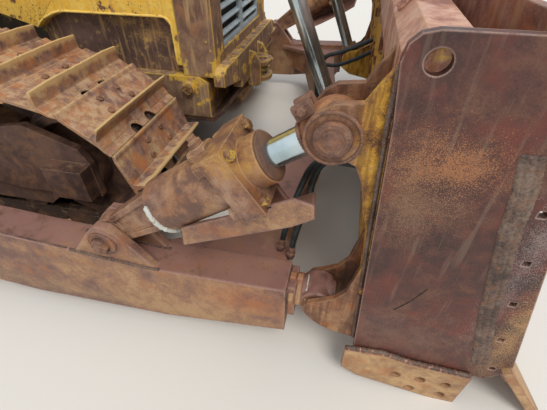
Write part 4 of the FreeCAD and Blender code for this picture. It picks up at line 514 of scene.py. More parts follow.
def plated_rod(name, foot, head, bare_from):
    """Hard chrome on ground bar: bright, its colour tinted blue as a painted reflection of the sky, with
    faint wipe marks; its eye is rough rusty steel.

    The eye begins at bare_from metres along the line from the foot pin to the head pin.
    """
    material = weathered(name, ("#5A3A2C", "#7A503A", "#936646", "#A87A52"), (0.65, 0.9), patch_mm=160,
                         blotch_mm=30, grain_mm=3, spread=0.05, bloom="#A0622F", bloom_share=0.3,
                         edge="#B08060", edge_mm=5, bump_mm=1.2, seed=12.5)
    tree = material.node_tree
    shader = next(node for node in tree.nodes if node.type == "BSDF_PRINCIPLED")
    place = add(tree, "ShaderNodeTexCoord", out="Object")
    wiped = add(tree, "ShaderNodeTexNoise", {"Vector": place, "Scale": per_metre(160), "Detail": 5.0})
    # The blue grey stops are a painted reflection of the sky in the chrome; the wipe marks vary them.
    chrome = add(tree, "ShaderNodeValToRGB", {"Fac": wiped}, stops=[
        (0.36, "#9DB0B6"), (0.5, "#BCCDD3"), (0.64, "#CDD8DB")])
    run, rise = head[0] - foot[0], head[1] - foot[1]
    reach = math.hypot(run, rise)
    from_foot = add(tree, "ShaderNodeVectorMath", {0: place, 1: (foot[0], 0.0, foot[1])},
                    operation="SUBTRACT")
    along = add(tree, "ShaderNodeVectorMath", {0: from_foot, 1: (run / reach, 0.0, rise / reach)},
                out="Value", operation="DOT_PRODUCT")
    eye = add(tree, "ShaderNodeMapRange", {
        "Value": along, "From Min": bare_from - 0.002, "From Max": bare_from + 0.003})
    links = {link.to_socket.name: link.from_socket for link in tree.links if link.to_node == shader}
    colour = add(tree, "ShaderNodeMix", {0: eye, 6: chrome, 7: links["Base Color"]}, out=2, data_type="RGBA")
    smooth = add(tree, "ShaderNodeMapRange", {
        "Value": wiped, "From Min": 0.35, "From Max": 0.65, "To Min": 0.12, "To Max": 0.22})
    rough = add(tree, "ShaderNodeMix", {0: eye, 2: smooth, 3: links["Roughness"]})
    bright = add(tree, "ShaderNodeMapRange", {"Value": eye, "To Min": 0.95, "To Max": 0.0})
    pitted = add(tree, "ShaderNodeMath", {0: eye, 1: 0.9}, operation="MULTIPLY")
    tree.links.new(pitted, tree.nodes["Bump"].inputs["Strength"])
    tree.links.new(colour, shader.inputs["Base Color"])
    tree.links.new(rough, shader.inputs["Roughness"])
    tree.links.new(bright, shader.inputs["Metallic"])
    return material


def tilt_rod_chrome():
    """Chrome of the tilt rods, up to their clamped eyes."""
    return plated_rod("hard_chrome_tilt_rod", TILT_FOOT, TILT_HEAD, 0.908)


def lift_rod_chrome():
    """Chrome of the lift rods, up to their ball ends."""
    return plated_rod("hard_chrome_lift_rod", LIFT_FOOT, LIFT_HEAD, 1.600)


def chain_steel():
    """Forged links polished dark by the soil that packs between them, and darker still as painted shade for
    the shadow under the overhanging shoes.
    """
    # Near-black tones: packed soil, and painted shade under the shoes.
    return weathered("link_steel_and_painted_shade", ("#2E2420", "#43332B", "#5C4638"), (0.55, 0.85), patch_mm=160,
                     blotch_mm=35, bloom="#7A5238", bloom_share=0.2, edge="#8E7054", edge_mm=4,
                     dust="#7A604A", dust_share=0.4, bump_mm=1.0, seed=18.0)


def bolt_rust():
    """Shoe bolt heads: dark in their corners, polished on top where the ground rubs them."""
    return weathered("rubbed_bolt_heads", ("#5E4034", "#7A5644", "#9A7254"), (0.5, 0.8), patch_mm=120,
                     blotch_mm=20, grain_mm=3, edge="#C8A680", edge_mm=2.5, edge_share=0.8, bump_mm=0.6,
                     seed=19.0)


def sprayed_bolt():
    """Flange bolts with rusty flats and a dusting of yellow overspray."""
    return weathered("oversprayed_bolt_heads", ("#5A3E30", "#7C563E", "#94704C"), (0.5, 0.8), patch_mm=60,
                     blotch_mm=18, grain_mm=3, paint="#B8902C", faded="#C4A044", paint_share=0.36, chip_mm=16,
                     edge="#C0A060", edge_mm=2.5, bump_mm=0.5, seed=20.0)


def chalky_paint():
    """A ring of white sealing paint gone chalky, broken through to rust here and there."""
    return weathered("chalked_sealing_paint", ("#8A7C6C", "#A89C8C", "#C4BCAE"), (0.6, 0.85), patch_mm=60,
                     blotch_mm=14, grain_mm=3, paint="#C9CCC4", faded="#B4B6AE", paint_share=0.7, chip_mm=30,
                     edge_mm=2, bump_mm=0.5, seed=21.0)


def pitted_knuckle():
    """Knuckles, caps and pins: rough pitted brown oxide with orange bloom in the hollows."""
    return weathered("pitted_knuckle_steel", ("#523830", "#684A3D", "#7E5C4C", "#926E58"), (0.6, 0.9),
                     patch_mm=140, blotch_mm=26, grain_mm=3, spread=0.05, bloom="#96603A", bloom_share=0.2,
                     edge="#A88468", edge_mm=4, bump_mm=1.3, seed=22.0)


def weld_rust():
    """Weld metal: lumpy, oxidised a little lighter than the plate beside it."""
    return weathered("oxidised_weld_metal", ("#3C2E27", "#524038", "#6A574C", "#7C695C"), (0.55, 0.85),
                     patch_mm=120, blotch_mm=9, grain_mm=2.5, spread=0.05, bloom="#80553C", bloom_share=0.2,
                     edge_mm=2, bump_mm=0.8, seed=23.0)


def flame_cut():
    """Rim left by the cutting torch: ragged slag gone pink brown."""
    return weathered("torch_slag_rim", ("#7E5548", "#A0705E", "#B88874", "#C49A84"), (0.6, 0.9),
                     patch_mm=90, blotch_mm=14, grain_mm=3, spread=0.05, bump_mm=1.4, seed=24.0)


def lip_painted_highlight():
    """The folded lip of the recess: enamel in a lighter yellow along its crown, which is a painted highlight.
    """
    # Lighter yellow than the panel: a painted highlight along the lip.
    return weathered("enamel_lip_painted_highlight", ("#6A4A34", "#8A6444", "#A87E50"), (0.45, 0.7), patch_mm=120,
                     blotch_mm=20, grain_mm=3, paint="#E8BE48", faded="#F0D27A", paint_share=0.95, chip_mm=24,
                     edge_mm=2, bump_mm=0.3, seed=25.0)


def lamp_glass():
    """Pressed lamp glass over a tarnished reflector: pale, glossy, hazed by dust."""
    return weathered("pressed_lamp_glass", ("#8E9290", "#A9AEAA", "#C3C7C2"), (0.12, 0.35), patch_mm=60,
                     blotch_mm=12, grain_mm=3, edge_mm=2, dust="#B0A490", bump_mm=0.4, seed=26.0)


def hose_rubber():
    """Moulded hose rubber over wire braid: near black with a grey bloom of dust."""
    return weathered("moulded_hose_rubber", ("#14191B", "#1E2628", "#2E383A"), (0.35, 0.65),
                     patch_mm=120, blotch_mm=30, grain_mm=3, edge_mm=1, bump_mm=0.2, seed=13.0)


def grille_paint():
    """Pressed grille bars in a cool grey enamel, dusty, with rust at their ends."""
    return weathered("grey_enamel_on_pressed_bars", ("#5A4A40", "#6E5C4E", "#826C58"), (0.5, 0.8),
                     paint="#9AA9B0", faded="#B2BEC2", paint_share=0.9, chip_mm=25, edge="#C8CDCC",
                     edge_mm=2, bump_mm=0.3, seed=14.0)


def dark_core():
    """Radiator fins and hollow spaces: matt black brown with grey dust. In the hollow spaces and the end
    plate's gouge the near black is painted shade.
    """
    # Near black: the fins' own dark paint, and painted shade in hollows.
    return weathered("radiator_fins_and_painted_hollow_shade", ("#15140F", "#221F1B", "#332E28"), (0.7, 0.95),
                     patch_mm=150, blotch_mm=20, grain_mm=3, bloom="#6B4A30", bloom_share=0.15,
                     edge_mm=2, bump_mm=0.8, seed=15.0)


def lining_steel():
    """Engine and case castings: grey brown grime over old yellow."""
    return weathered("grimy_castings", ("#3A322A", "#50463A", "#6A5A46"), (0.6, 0.9),
                     paint="#8C7434", faded="#9A8448", paint_share=0.35, edge="#8A7A60", edge_mm=6,
                     dust="#8A7A62", bump_mm=0.9, seed=16.0)


def seat_vinyl():
    """Embossed black vinyl, sun-greyed, with a leather grain that softens its shine."""
    return weathered("embossed_seat_vinyl", ("#1B1B1C", "#262627", "#363535"), (0.45, 0.65),
                     patch_mm=200, blotch_mm=30, grain_mm=2.5, edge_mm=1, bump_mm=0.35, seed=17.0)


FINISHES = {
    "hood": old_enamel, "front_side_panels": recessed_panel, "rear_side_panels": cracked_enamel,
    "engine_door_right": old_enamel, "engine_door_left": old_enamel, "door_hinges": old_enamel,
    "radiator_guard": chipped_guard, "main_frame": chipped_guard, "nose_crossmember": chipped_guard,
    "belly_guard": frame_rust_and_shade, "grille": grille_paint, "radiator_core": dark_core,
    "engine_block": lining_steel, "rear_case": cracked_enamel, "drawbar": frame_rust_and_shade,
    "fire_wall": old_enamel, "dash_cowl": old_enamel, "platform": cracked_enamel,
    "fuel_tank": cracked_enamel, "hydraulic_tank": cracked_enamel, "battery_case": cracked_enamel,
    "canopy_posts": old_enamel, "canopy_roof": old_enamel, "controls": lining_steel,
    "seat": seat_vinyl, "seat_base": lining_steel, "armrests": seat_vinyl, "lamps": lining_steel,
    "exhaust_stack": frame_rust_and_shade, "air_precleaner": cracked_enamel, "equalizer_bar": frame_rust_and_shade,
    "pivot_shafts": frame_rust_and_shade, "idlers": frame_rust_and_shade, "sprockets": frame_rust_and_shade,
    "final_drives": frame_rust_and_shade, "track_frames": frame_rust_and_shade, "track_rollers": frame_rust_and_shade,
    "carrier_rollers": frame_rust_and_shade, "track_right": shoe_rust, "track_left": shoe_rust,
    "push_arm_right": arm_rust, "push_arm_left": arm_rust, "brace_yoke": arm_rust,
    "moldboard": blade_face_painted_light, "blade_back_frame": back_paint, "end_plates": blade_rust_and_shade,
    "cutting_edge": edge_rust, "end_bits": edge_rust, "side_wear_plates": edge_rust,
    "blade_lugs": lug_paint, "lift_barrel_right": cracked_enamel, "lift_barrel_left": cracked_enamel,
    "lift_rod_right": lift_rod_chrome, "lift_rod_left": lift_rod_chrome,
    "tilt_barrel_right": barrel_steel, "tilt_barrel_left": barrel_steel,
    "tilt_rod_right": tilt_rod_chrome, "tilt_rod_left": tilt_rod_chrome,
    "tilt_guard_right": arm_rust, "tilt_guard_left": arm_rust,
}
_made = {}


def finish_of(recipe):
    """Each finish is made once and shared."""
    if recipe not in _made:
        _made[recipe] = recipe()
    return _made[recipe]


def piece(name, shape, recipe, body, smooth=False):
    """Turns points and faces into an object that rides on a body, or on none when no body is given, as for a
    hose that runs between two.
    """
    points, faces = shape
    mesh = bpy.data.meshes.new(name)
    mesh.from_pydata(np.asarray(points, float).tolist(), [], [list(map(int, face)) for face in faces])
    mesh.update()
    if smooth:
        mesh.polygons.foreach_set("use_smooth", np.ones(len(mesh.polygons), bool))
        mesh.set_sharp_from_angle(angle=math.radians(38))
    mesh.materials.append(finish_of(recipe))
    obj = bpy.data.objects.new(name, mesh)
    bpy.context.scene.collection.objects.link(obj)
    if body:
        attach(obj, body)
    return obj


def joined(shapes):
    """Several shapes as one."""
    points, faces, start = [], [], 0
    for some_points, some_faces in shapes:
        points.append(np.asarray(some_points, float))
        faces.extend([[int(index) + start for index in face] for face in some_faces])
        start += len(some_points)
    return np.concatenate(points), faces


def mirrored(shape):
    """The same shape on the machine's other side: y changes its sign and the faces turn round."""
    points, faces = shape
    return np.asarray(points, float) * (1, -1, 1), [list(face)[::-1] for face in faces]


def stamped(shape, places):
    """One copy of a shape at each place. A place is (origin, x axis, y axis, z axis)."""
    points, faces = shape
    points = np.asarray(points, float)
    origins = np.array([place[0] for place in places], float)
    axes = np.array([place[1:] for place in places], float)
    moved = np.einsum("pk,nkc->npc", points, axes) + origins[:, None, :]
    count = len(points)
    every = [[index + copy * count for index in face] for copy in range(len(places)) for face in faces]
    return moved.reshape(-1, 3), every


def tube_between(rings):
    """Skin through rings of equally many points; the ends are closed by flat faces."""
    rings = np.asarray(rings, float)
    steps, sides = rings.shape[:2]
    low = np.arange(sides)
    high = (low + 1) % sides
    faces = []
    for step in range(steps - 1):
        a, b = step * sides, (step + 1) * sides
        faces += np.stack([a + low, a + high, b + high, b + low], 1).tolist()
    faces.append(list(range(sides))[::-1])
    faces.append([(steps - 1) * sides + index for index in range(sides)])
    return rings.reshape(-1, 3), faces


def slab(outline, low, high):
    """Outline of (x, z) points, anticlockwise seen from the machine's right, between two distances y."""
    flat = np.asarray(outline, float)
    rings = [np.column_stack([flat[:, 0], np.full(len(flat), y), flat[:, 1]]) for y in (high, low)]
    return tube_between(rings)


def hexagon_head(radius, height):
    """Bolt head: six flats with a chamfered top, foot at the origin and top along z."""
    turn = np.arange(6) * math.pi / 3
    rings = [np.column_stack([reach * np.cos(turn), reach * np.sin(turn), np.full(6, level)])
             for reach, level in ((radius, 0.0), (radius, height * 0.75), (radius * 0.82, height))]
    return tube_between(rings)


def turned(profile, sides=24):
    """Profile of (radius, level) points spun about z; a radius of nothing closes the end."""
    turn = np.arange(sides) * 2 * math.pi / sides
    rings = [np.column_stack([reach * np.cos(turn), reach * np.sin(turn), np.full(sides, level)])
             for reach, level in profile]
    return tube_between(rings)


def axes_along(direction):
    """Right-handed axes whose z runs along a direction, with x level, or along y where z is upright."""
    z = np.array(direction, float) / np.linalg.norm(direction)
    x = np.cross((0.0, 0.0, 1.0), z)
    if np.linalg.norm(x) < 1e-6:
        x = np.cross((1.0, 0.0, 0.0), z)
    x = x / np.linalg.norm(x)
    return x, np.cross(z, x), z


def placed(shape, origin, direction):
    """The shape carried to an origin, with its own z along a direction."""
    return stamped(shape, [(origin, *axes_along(direction))])


def bead(path, radius, seed=1, sides=8, ripple=0.009):
    """Weld bead: a round section carried along a path, swelling in even ripples with a little chance."""
    path = np.asarray(path, float)
    lengths = np.concatenate([[0], np.cumsum(np.linalg.norm(np.diff(path, axis=0), axis=1))])
    count = max(6, int(lengths[-1] / (ripple / 3)))
    along = np.linspace(0, lengths[-1], count)
    centre = np.stack([np.interp(along, lengths, path[:, axis]) for axis in range(3)], 1)
    ahead = np.gradient(centre, axis=0)
    ahead /= np.linalg.norm(ahead, axis=1)[:, None]
    side = np.cross(ahead, (0.31, 0.52, 0.79))
    side /= np.linalg.norm(side, axis=1)[:, None]
    up = np.cross(ahead, side)
    chance = np.random.default_rng(seed).normal(0, 0.06, count)
    swell = radius * (1 + 0.13 * np.sin(along / ripple * 2 * math.pi) + chance)
    swell[[0, -1]] *= 0.4
    turn = np.arange(sides) * 2 * math.pi / sides
    round_way = (np.cos(turn)[None, :, None] * side[:, None, :]
                 + np.sin(turn)[None, :, None] * up[:, None, :])
    return tube_between(centre[:, None, :] + swell[:, None, None] * round_way)


def hoop(station, radius, start=0, end=360, count=90):
    """Arc about x at a station along it: y and z are the cosine and the sine of an angle in degrees."""
    turn = np.radians(np.linspace(start, end, count))
    return np.column_stack([np.full(count, station), radius * np.cos(turn), radius * np.sin(turn)])


def chain_places(phase):
    """Pins spaced evenly along the belt round the wheels: one row of (x, z) for each link's start.

    The belt runs over each wheel as an arc and from wheel to wheel on their common tangent.
    """
    count = len(CHAIN_WHEELS)
    lean = []
    for index in range(count):
        xa, za, ra = CHAIN_WHEELS[index]
        xb, zb, rb = CHAIN_WHEELS[(index + 1) % count]
        lean.append(math.atan2(zb - za, xb - xa) + math.acos((ra - rb) / math.hypot(xb - xa, zb - za)))
    path = []
    for index in range(count):
        x, z, radius = CHAIN_WHEELS[index]
        turn = (lean[index - 1] - lean[index]) % (2 * math.pi)
        angle = lean[index - 1] - np.linspace(0, turn, max(3, int(turn / 0.004)))
        path.append(np.column_stack([x + radius * np.cos(angle), z + radius * np.sin(angle)]))
    path = np.concatenate(path + [path[0][:1]])
    lengths = np.concatenate([[0], np.cumsum(np.hypot(*np.diff(path, axis=0).T))])
    shoes = round(lengths[-1] / CHAIN_PITCH)
    along = lengths[-1] * (np.arange(shoes) + phase) / shoes
    return np.stack([np.interp(along, lengths, path[:, axis]) for axis in range(2)], 1)


def smooth_step(value, low, high):
    """Rises from 0 to 1 between two values, as three squares less two cubes of the share of the way."""
    share = np.clip((value - low) / (high - low), 0, 1)
    return share * share * (3 - 2 * share)


def shoe_height(share, track):
    """Top of a shoe over its plate: a lip at the front, the bar, and a tail that runs under the next shoe.

    The bar is a trapezoid raised to a power, so that its flanks run out in a hollow.
    """
    lip = 0.0075 * (1 - smooth_step(share, 0.045, 0.15)) * smooth_step(share, -0.012, 0.012)
    flank = (BAR_HALF_FOOT - np.abs(share - BAR_MIDDLE)) / (BAR_HALF_FOOT - BAR_HALF_TOP)
    dip = -0.009 * smooth_step(share, 0.85, 0.97) - 0.008 * smooth_step(share, 0.97, 1.03)
    return lip + track.bar_height * np.clip(flank, 0, 1) ** 1.7 + dip


def shoe_skins(track, places, middle, chance):
    """All shoes of one chain as one closed skin for each shoe.

    A shoe is a row of closed outlines across the chain. Each outline runs back over the top and forward
    again under the plate. Near two places the outlines end early, on a half ellipse: the round notches.
    """
    top = np.concatenate([
        np.linspace(0.004, 0.15, 6), (0.40, 0.64), np.linspace(0.682, 0.742, 6),
        np.linspace(0.788, 0.850, 6), (0.90, 0.95, 0.99, 1.03, SHOE_TAIL)])
    under = np.array((SHOE_TAIL, 1.03, 0.90, 0.64, 0.15, 0.05, 0.004))
    notch = np.cos(np.linspace(0, math.pi, 9)) * NOTCH_HALF
    half = track.shoe_width / 2
    across = np.unique(np.round(np.concatenate([
        [-half, -half + 0.004, -0.2, -0.13, 0.0, 0.13, 0.2, half - 0.004, half],
        notch - NOTCH_FROM_MIDDLE, notch + NOTCH_FROM_MIDDLE]), 5))
    depth = 1 - ((np.abs(across) - NOTCH_FROM_MIDDLE) / NOTCH_HALF) ** 2
    depth = track.notch_reach * np.sqrt(np.clip(depth, 0, 1)) / ((SHOE_TAIL - NOTCH_START) * CHAIN_PITCH)
    rounding = 1 - 0.10 * smooth_step(np.abs(across), half - 0.05, half)[:, None]
    raised = shoe_height(top[None, :], track)
    crown = np.where(raised > 0.012, raised * rounding, raised) * np.ones_like(rounding)
    low = np.interp(under, (0.004, 0.05, 0.15, 0.90, 1.03, SHOE_TAIL),
                    (-0.004, -0.009, -0.014, -0.018, -0.026, -0.025))
    low = np.tile(low, (len(across), 1))
    share = np.tile(np.concatenate([top, under]), (len(across), 1))
    behind = np.maximum(share - NOTCH_START, 0)
    share = share - behind * depth[:, None]
    height = np.concatenate([crown, low], 1)
    worn = np.concatenate([np.clip(crown / track.bar_height, 0, 1) ** 2, np.zeros_like(low)], 1)
    worn = np.maximum(worn, np.where(share < 0.05, 0.45, 0.0))
    count, rows, steps = len(places), len(across), share.shape[1]
    nick = chance.normal(0, 0.0016, (count, rows, 1)) * (height[None] > 0.6 * track.bar_height)
    level = PLATE_RISE + height[None] - np.abs(nick)
    ahead = np.roll(places, -1, axis=0) - places
    out = np.stack([-ahead[:, 1], ahead[:, 0]], 1) / np.linalg.norm(ahead, axis=1)[:, None]
    x = places[:, 0, None, None] + share[None] * ahead[:, 0, None, None] + level * out[:, 0, None, None]
    z = places[:, 1, None, None] + share[None] * ahead[:, 1, None, None] + level * out[:, 1, None, None]
    y = middle + np.broadcast_to(across[None, :, None], x.shape)
    points = np.stack([x, y, z], -1).reshape(-1, 3)
    row, step = np.meshgrid(np.arange(rows - 1), np.arange(steps), indexing="ij")
    beside = (step + 1) % steps
    ring = np.stack([row * steps + step, row * steps + beside, (row + 1) * steps + beside,
                     (row + 1) * steps + step], -1).reshape(-1, 4)
    first = np.arange(steps)[::-1]
    faces = []
    for copy in range(count):
        base = copy * rows * steps
        faces += (ring + base).tolist()
        faces += [(first + base).tolist(), (first[::-1] + base + (rows - 1) * steps).tolist()]
    return points, faces, np.tile(worn.ravel(), count)


def chain_axes(places, share, rise):
    """Origins on the chain at a share of the pitch and a rise, with axes along it, across it and outwards."""
    ahead = np.roll(places, -1, axis=0) - places
    unit = ahead / np.linalg.norm(ahead, axis=1)[:, None]
    rows = []
    for (x, z), (dx, dz), (ux, uz) in zip(places, ahead, unit):
        origin = (x + dx * share - uz * rise, 0.0, z + dz * share + ux * rise)
        rows.append((origin, (ux, 0.0, uz), (0.0, 1.0, 0.0), (-uz, 0.0, ux)))
    return rows


def shifted(shape, offset):
    """The shape moved by an offset."""
    points, faces = shape
    return np.asarray(points, float) + offset, faces


def turned_to(shape, x_axis, y_axis, z_axis):
    """The shape with its own axes laid along three others."""
    return stamped(shape, [((0, 0, 0), x_axis, y_axis, z_axis)])


def on_slope(foot, head, side, half):
    """Place of a cylinder's own axes: x from its foot pin to its head pin, y to the left, z upwards."""
    run, rise = head[0] - foot[0], head[1] - foot[1]
    reach = math.hypot(run, rise)
    c, s = run / reach, rise / reach
    return ((foot[0], side * half, foot[1]), (c, 0.0, s), (0.0, 1.0, 0.0), (-s, 0.0, c))


def box_shape(low, high, chamfer=0.0):
    """Block between two corners; its four long edges along x are cut off by the chamfer."""
    (x0, y0, z0), (x1, y1, z1) = low, high
    c = chamfer
    outline = [(y0 + c, z0), (y1 - c, z0), (y1, z0 + c), (y1, z1 - c), (y1 - c, z1), (y0 + c, z1),
               (y0, z1 - c), (y0, z0 + c)] if c else [(y0, z0), (y1, z0), (y1, z1), (y0, z1)]
    rings = [[(x, y, z) for y, z in outline] for x in (x0, x1)]
    return tube_between(rings)


ALONG_X = ((0.0, 1.0, 0.0), (0.0, 0.0, 1.0), (1.0, 0.0, 0.0))
ALONG_MINUS_X = ((0.0, 0.0, 1.0), (0.0, 1.0, 0.0), (-1.0, 0.0, 0.0))
ALONG_Z = ((1.0, 0.0, 0.0), (0.0, 1.0, 0.0), (0.0, 0.0, 1.0))
ALONG_Y = ((0.0, 0.0, 1.0), (1.0, 0.0, 0.0), (0.0, 1.0, 0.0))
ALONG_MINUS_Y = ((1.0, 0.0, 0.0), (0.0, 0.0, 1.0), (0.0, -1.0, 0.0))


def both_sides(shape):
    """The shape and its mirror image as one."""
    return joined([shape, mirrored(shape)])


def screw_row(places, axes, radius=0.015, height=0.012):
    """Hexagon heads at several places, all pointing the same way, each turned a little differently."""
    heads = []
    for number, place in enumerate(places):
        spin = number * 0.7
        x = np.array(axes[0]) * math.cos(spin) + np.array(axes[1]) * math.sin(spin)
        y = np.cross(axes[2], x)
        heads.append(stamped(hexagon_head(radius, height), [(place, tuple(x), tuple(y), axes[2])]))
    return joined(heads)


def ring_of(count, radius, start=0.0):
    """Points evenly round a circle: two numbers each, the cosine and the sine of the angle."""
    turn = start + np.arange(count) * 2 * math.pi / count
    return np.column_stack([radius * np.cos(turn), radius * np.sin(turn)])


def pillow(half):
    """Crowned closed form: a ball whose sines and cosines are flattened by powers, so its corners stay full.

    Seen from the end of each axis it is a rounded rectangle whose sides pull in between the corners.
    """
    def bent(value, power):
        return np.sign(value) * np.abs(value) ** power

    up = np.linspace(-math.pi / 2, math.pi / 2, 25)[1:-1]
    turn = np.arange(64) * 2 * math.pi / 64
    rings = np.stack([
        half[0] * bent(np.cos(up), 0.45)[:, None] * bent(np.cos(turn), 0.32)[None],
        half[1] * bent(np.cos(up), 0.45)[:, None] * bent(np.sin(turn), 0.32)[None],
        half[2] * bent(np.sin(up), 0.8)[:, None] * np.ones(64)[None]], -1)
    return tube_between(rings)


def turned_by(shape, angle, middle):
    """The shape leant back by an angle about y, then carried to its middle."""
    c, s = math.cos(angle), math.sin(angle)
    return stamped(shape, [(middle, (c, 0.0, -s), (0.0, 1.0, 0.0), (s, 0.0, c))])


def settled(obj):
    """The object's modifiers are worked into its mesh."""
    tree = bpy.context.evaluated_depsgraph_get()
    mesh = bpy.data.meshes.new_from_object(obj.evaluated_get(tree))
    obj.modifiers.clear()
    obj.data = mesh
    mesh.polygons.foreach_set("use_smooth", np.ones(len(mesh.polygons), bool))


def coordinates(mesh):
    """The places of a mesh's points, one row for each."""
    values = np.empty(len(mesh.vertices) * 3)
    mesh.vertices.foreach_get("co", values)
    return values.reshape(-1, 3)


def padded_piece(name, shape, voxel, most):
    """A stuffed cover: an even mesh that air pressure swells for a moment, held to at most this far."""
    obj = piece(name, shape, seat_vinyl, "tractor", True)
    even = obj.modifiers.new("even", "REMESH")
    even.mode = "VOXEL"
    even.voxel_size = voxel
    settled(obj)
    before = coordinates(obj.data)
    air = obj.modifiers.new("air", "CLOTH")
    air.settings.use_pressure = True
    air.settings.uniform_pressure_force = 4.0
    air.settings.effector_weights.gravity = 0.0
    for frame_number in range(1, 21):
        bpy.context.scene.frame_set(frame_number)
    settled(obj)
    moved = coordinates(obj.data) - before
    far = np.linalg.norm(moved, axis=1)[:, None]
    after = before + moved * np.minimum(1.0, most / np.maximum(far, 1e-9))
    obj.data.vertices.foreach_set("co", after.ravel())
    bpy.context.scene.frame_set(1)
    finer = obj.modifiers.new("finer", "SUBSURF")
    finer.levels = finer.render_levels = 1
    settled(obj)
    return obj


def channels(obj, face, rows, depth):
    """Sewn channels pressed into a cushion's side that faces along one axis, at some distances y.

    Each is a valley that falls off as a bell on both sides.
    """
    points = coordinates(obj.data)
    normals = np.empty(len(points) * 3)
    obj.data.vertices.foreach_get("normal", normals)
    normals = normals.reshape(-1, 3)
    facing = smooth_step(normals[:, face], 0.3, 0.8)
    fall = sum(np.exp(-((points[:, 1] - row) / 0.009) ** 2) for row in rows)
    points -= normals * (depth * facing * fall)[:, None]
    obj.data.vertices.foreach_set("co", points.ravel())
    obj.data.update()


def hang_hose(name, route):
    """A rubber hose along a smooth line, from the push frame to the blade, with a fitting at each end."""
    curve = bpy.data.curves.new(name + "_line", "CURVE")
    curve.dimensions = "3D"
    curve.resolution_u = 16
    line = curve.splines.new("NURBS")
    line.points.add(len(route) - 1)
    for point, place in zip(line.points, route):
        point.co = (*place, 1.0)
    line.order_u = 3
    line.use_endpoint_u = True
    carrier = bpy.data.objects.new(name + "_line", curve)
    bpy.context.scene.collection.objects.link(carrier)
    tree = bpy.context.evaluated_depsgraph_get()
    path = coordinates(bpy.data.meshes.new_from_object(carrier.evaluated_get(tree)))
    bpy.data.objects.remove(carrier)
    ahead = np.gradient(path, axis=0)
    ahead /= np.linalg.norm(ahead, axis=1)[:, None]
    side = np.cross(ahead, (0.0, 1.0, 0.0))
    side /= np.linalg.norm(side, axis=1)[:, None]
    up = np.cross(ahead, side)
    turn = np.arange(16) * math.pi / 8
    rings = path[:, None] + HOSE_RADIUS * (np.cos(turn)[None, :, None] * side[:, None]
                                           + np.sin(turn)[None, :, None] * up[:, None])
    hose = piece(name, tube_between(rings), hose_rubber, None, True)
    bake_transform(hose)
    swage = turned([(0.0, -0.030), (0.016, -0.030), (0.016, 0.004), (0.0145, 0.006), (0.0145, 0.034),
                    (0.0128, 0.038), (0.0, 0.038)], 20)
    nut = stamped(hexagon_head(0.021, 0.018), [((0, 0, -0.014), (1, 0, 0), (0, 1, 0), (0, 0, 1))])
    fitting = joined([swage, nut])
    for label, body, at, way in (("foot", "push_frame", path[0], ahead[0]),
                                 ("head", "blade", path[-1], -ahead[-1])):
        piece(name + "_" + label, placed(fitting, tuple(at), tuple(way)), pitted_knuckle, body)


class TrackSizes(bpy.types.PropertyGroup):
    """Sizes of the track shoes and where the chain has stopped"""

    shoe_width: bpy.props.FloatProperty(
        name="Shoe width", description="Across one track", default=0.610, subtype="DISTANCE", unit="LENGTH")
    bar_height: bpy.props.FloatProperty(
        name="Bar height", description="Bar above the shoe's plate", default=0.070, unit="LENGTH")
    notch_reach: bpy.props.FloatProperty(
        name="Notch reach", description="How far the round notches cut in from the shoe's rear edge",
        default=0.046, unit="LENGTH")
    bolt_radius: bpy.props.FloatProperty(
        name="Bolt head", description="Corner radius of a shoe bolt's head", default=0.0165, unit="LENGTH")
    phase: bpy.props.FloatProperty(
        name="Chain stop", description="How far the chain has run on, in shares of its pitch", default=0.24)


class StageLook(bpy.types.PropertyGroup):
    """Colours and lamps of the stage, and the camera's place"""

    floor: bpy.props.FloatVectorProperty(
        name="Floor", description="Colour of the plain floor", default=linear("#DEDBD5"), subtype="COLOR")
    sky: bpy.props.FloatProperty(name="Sky light", description="Strength of the even light", default=0.80)
    sun: bpy.props.FloatProperty(name="Main lamp", description="Strength of the soft sun", default=1.7)
    eye: bpy.props.FloatVectorProperty(
        name="Camera", description="Where the camera stands", default=(2.125, -2.410, 1.583),
        subtype="TRANSLATION", unit="LENGTH")


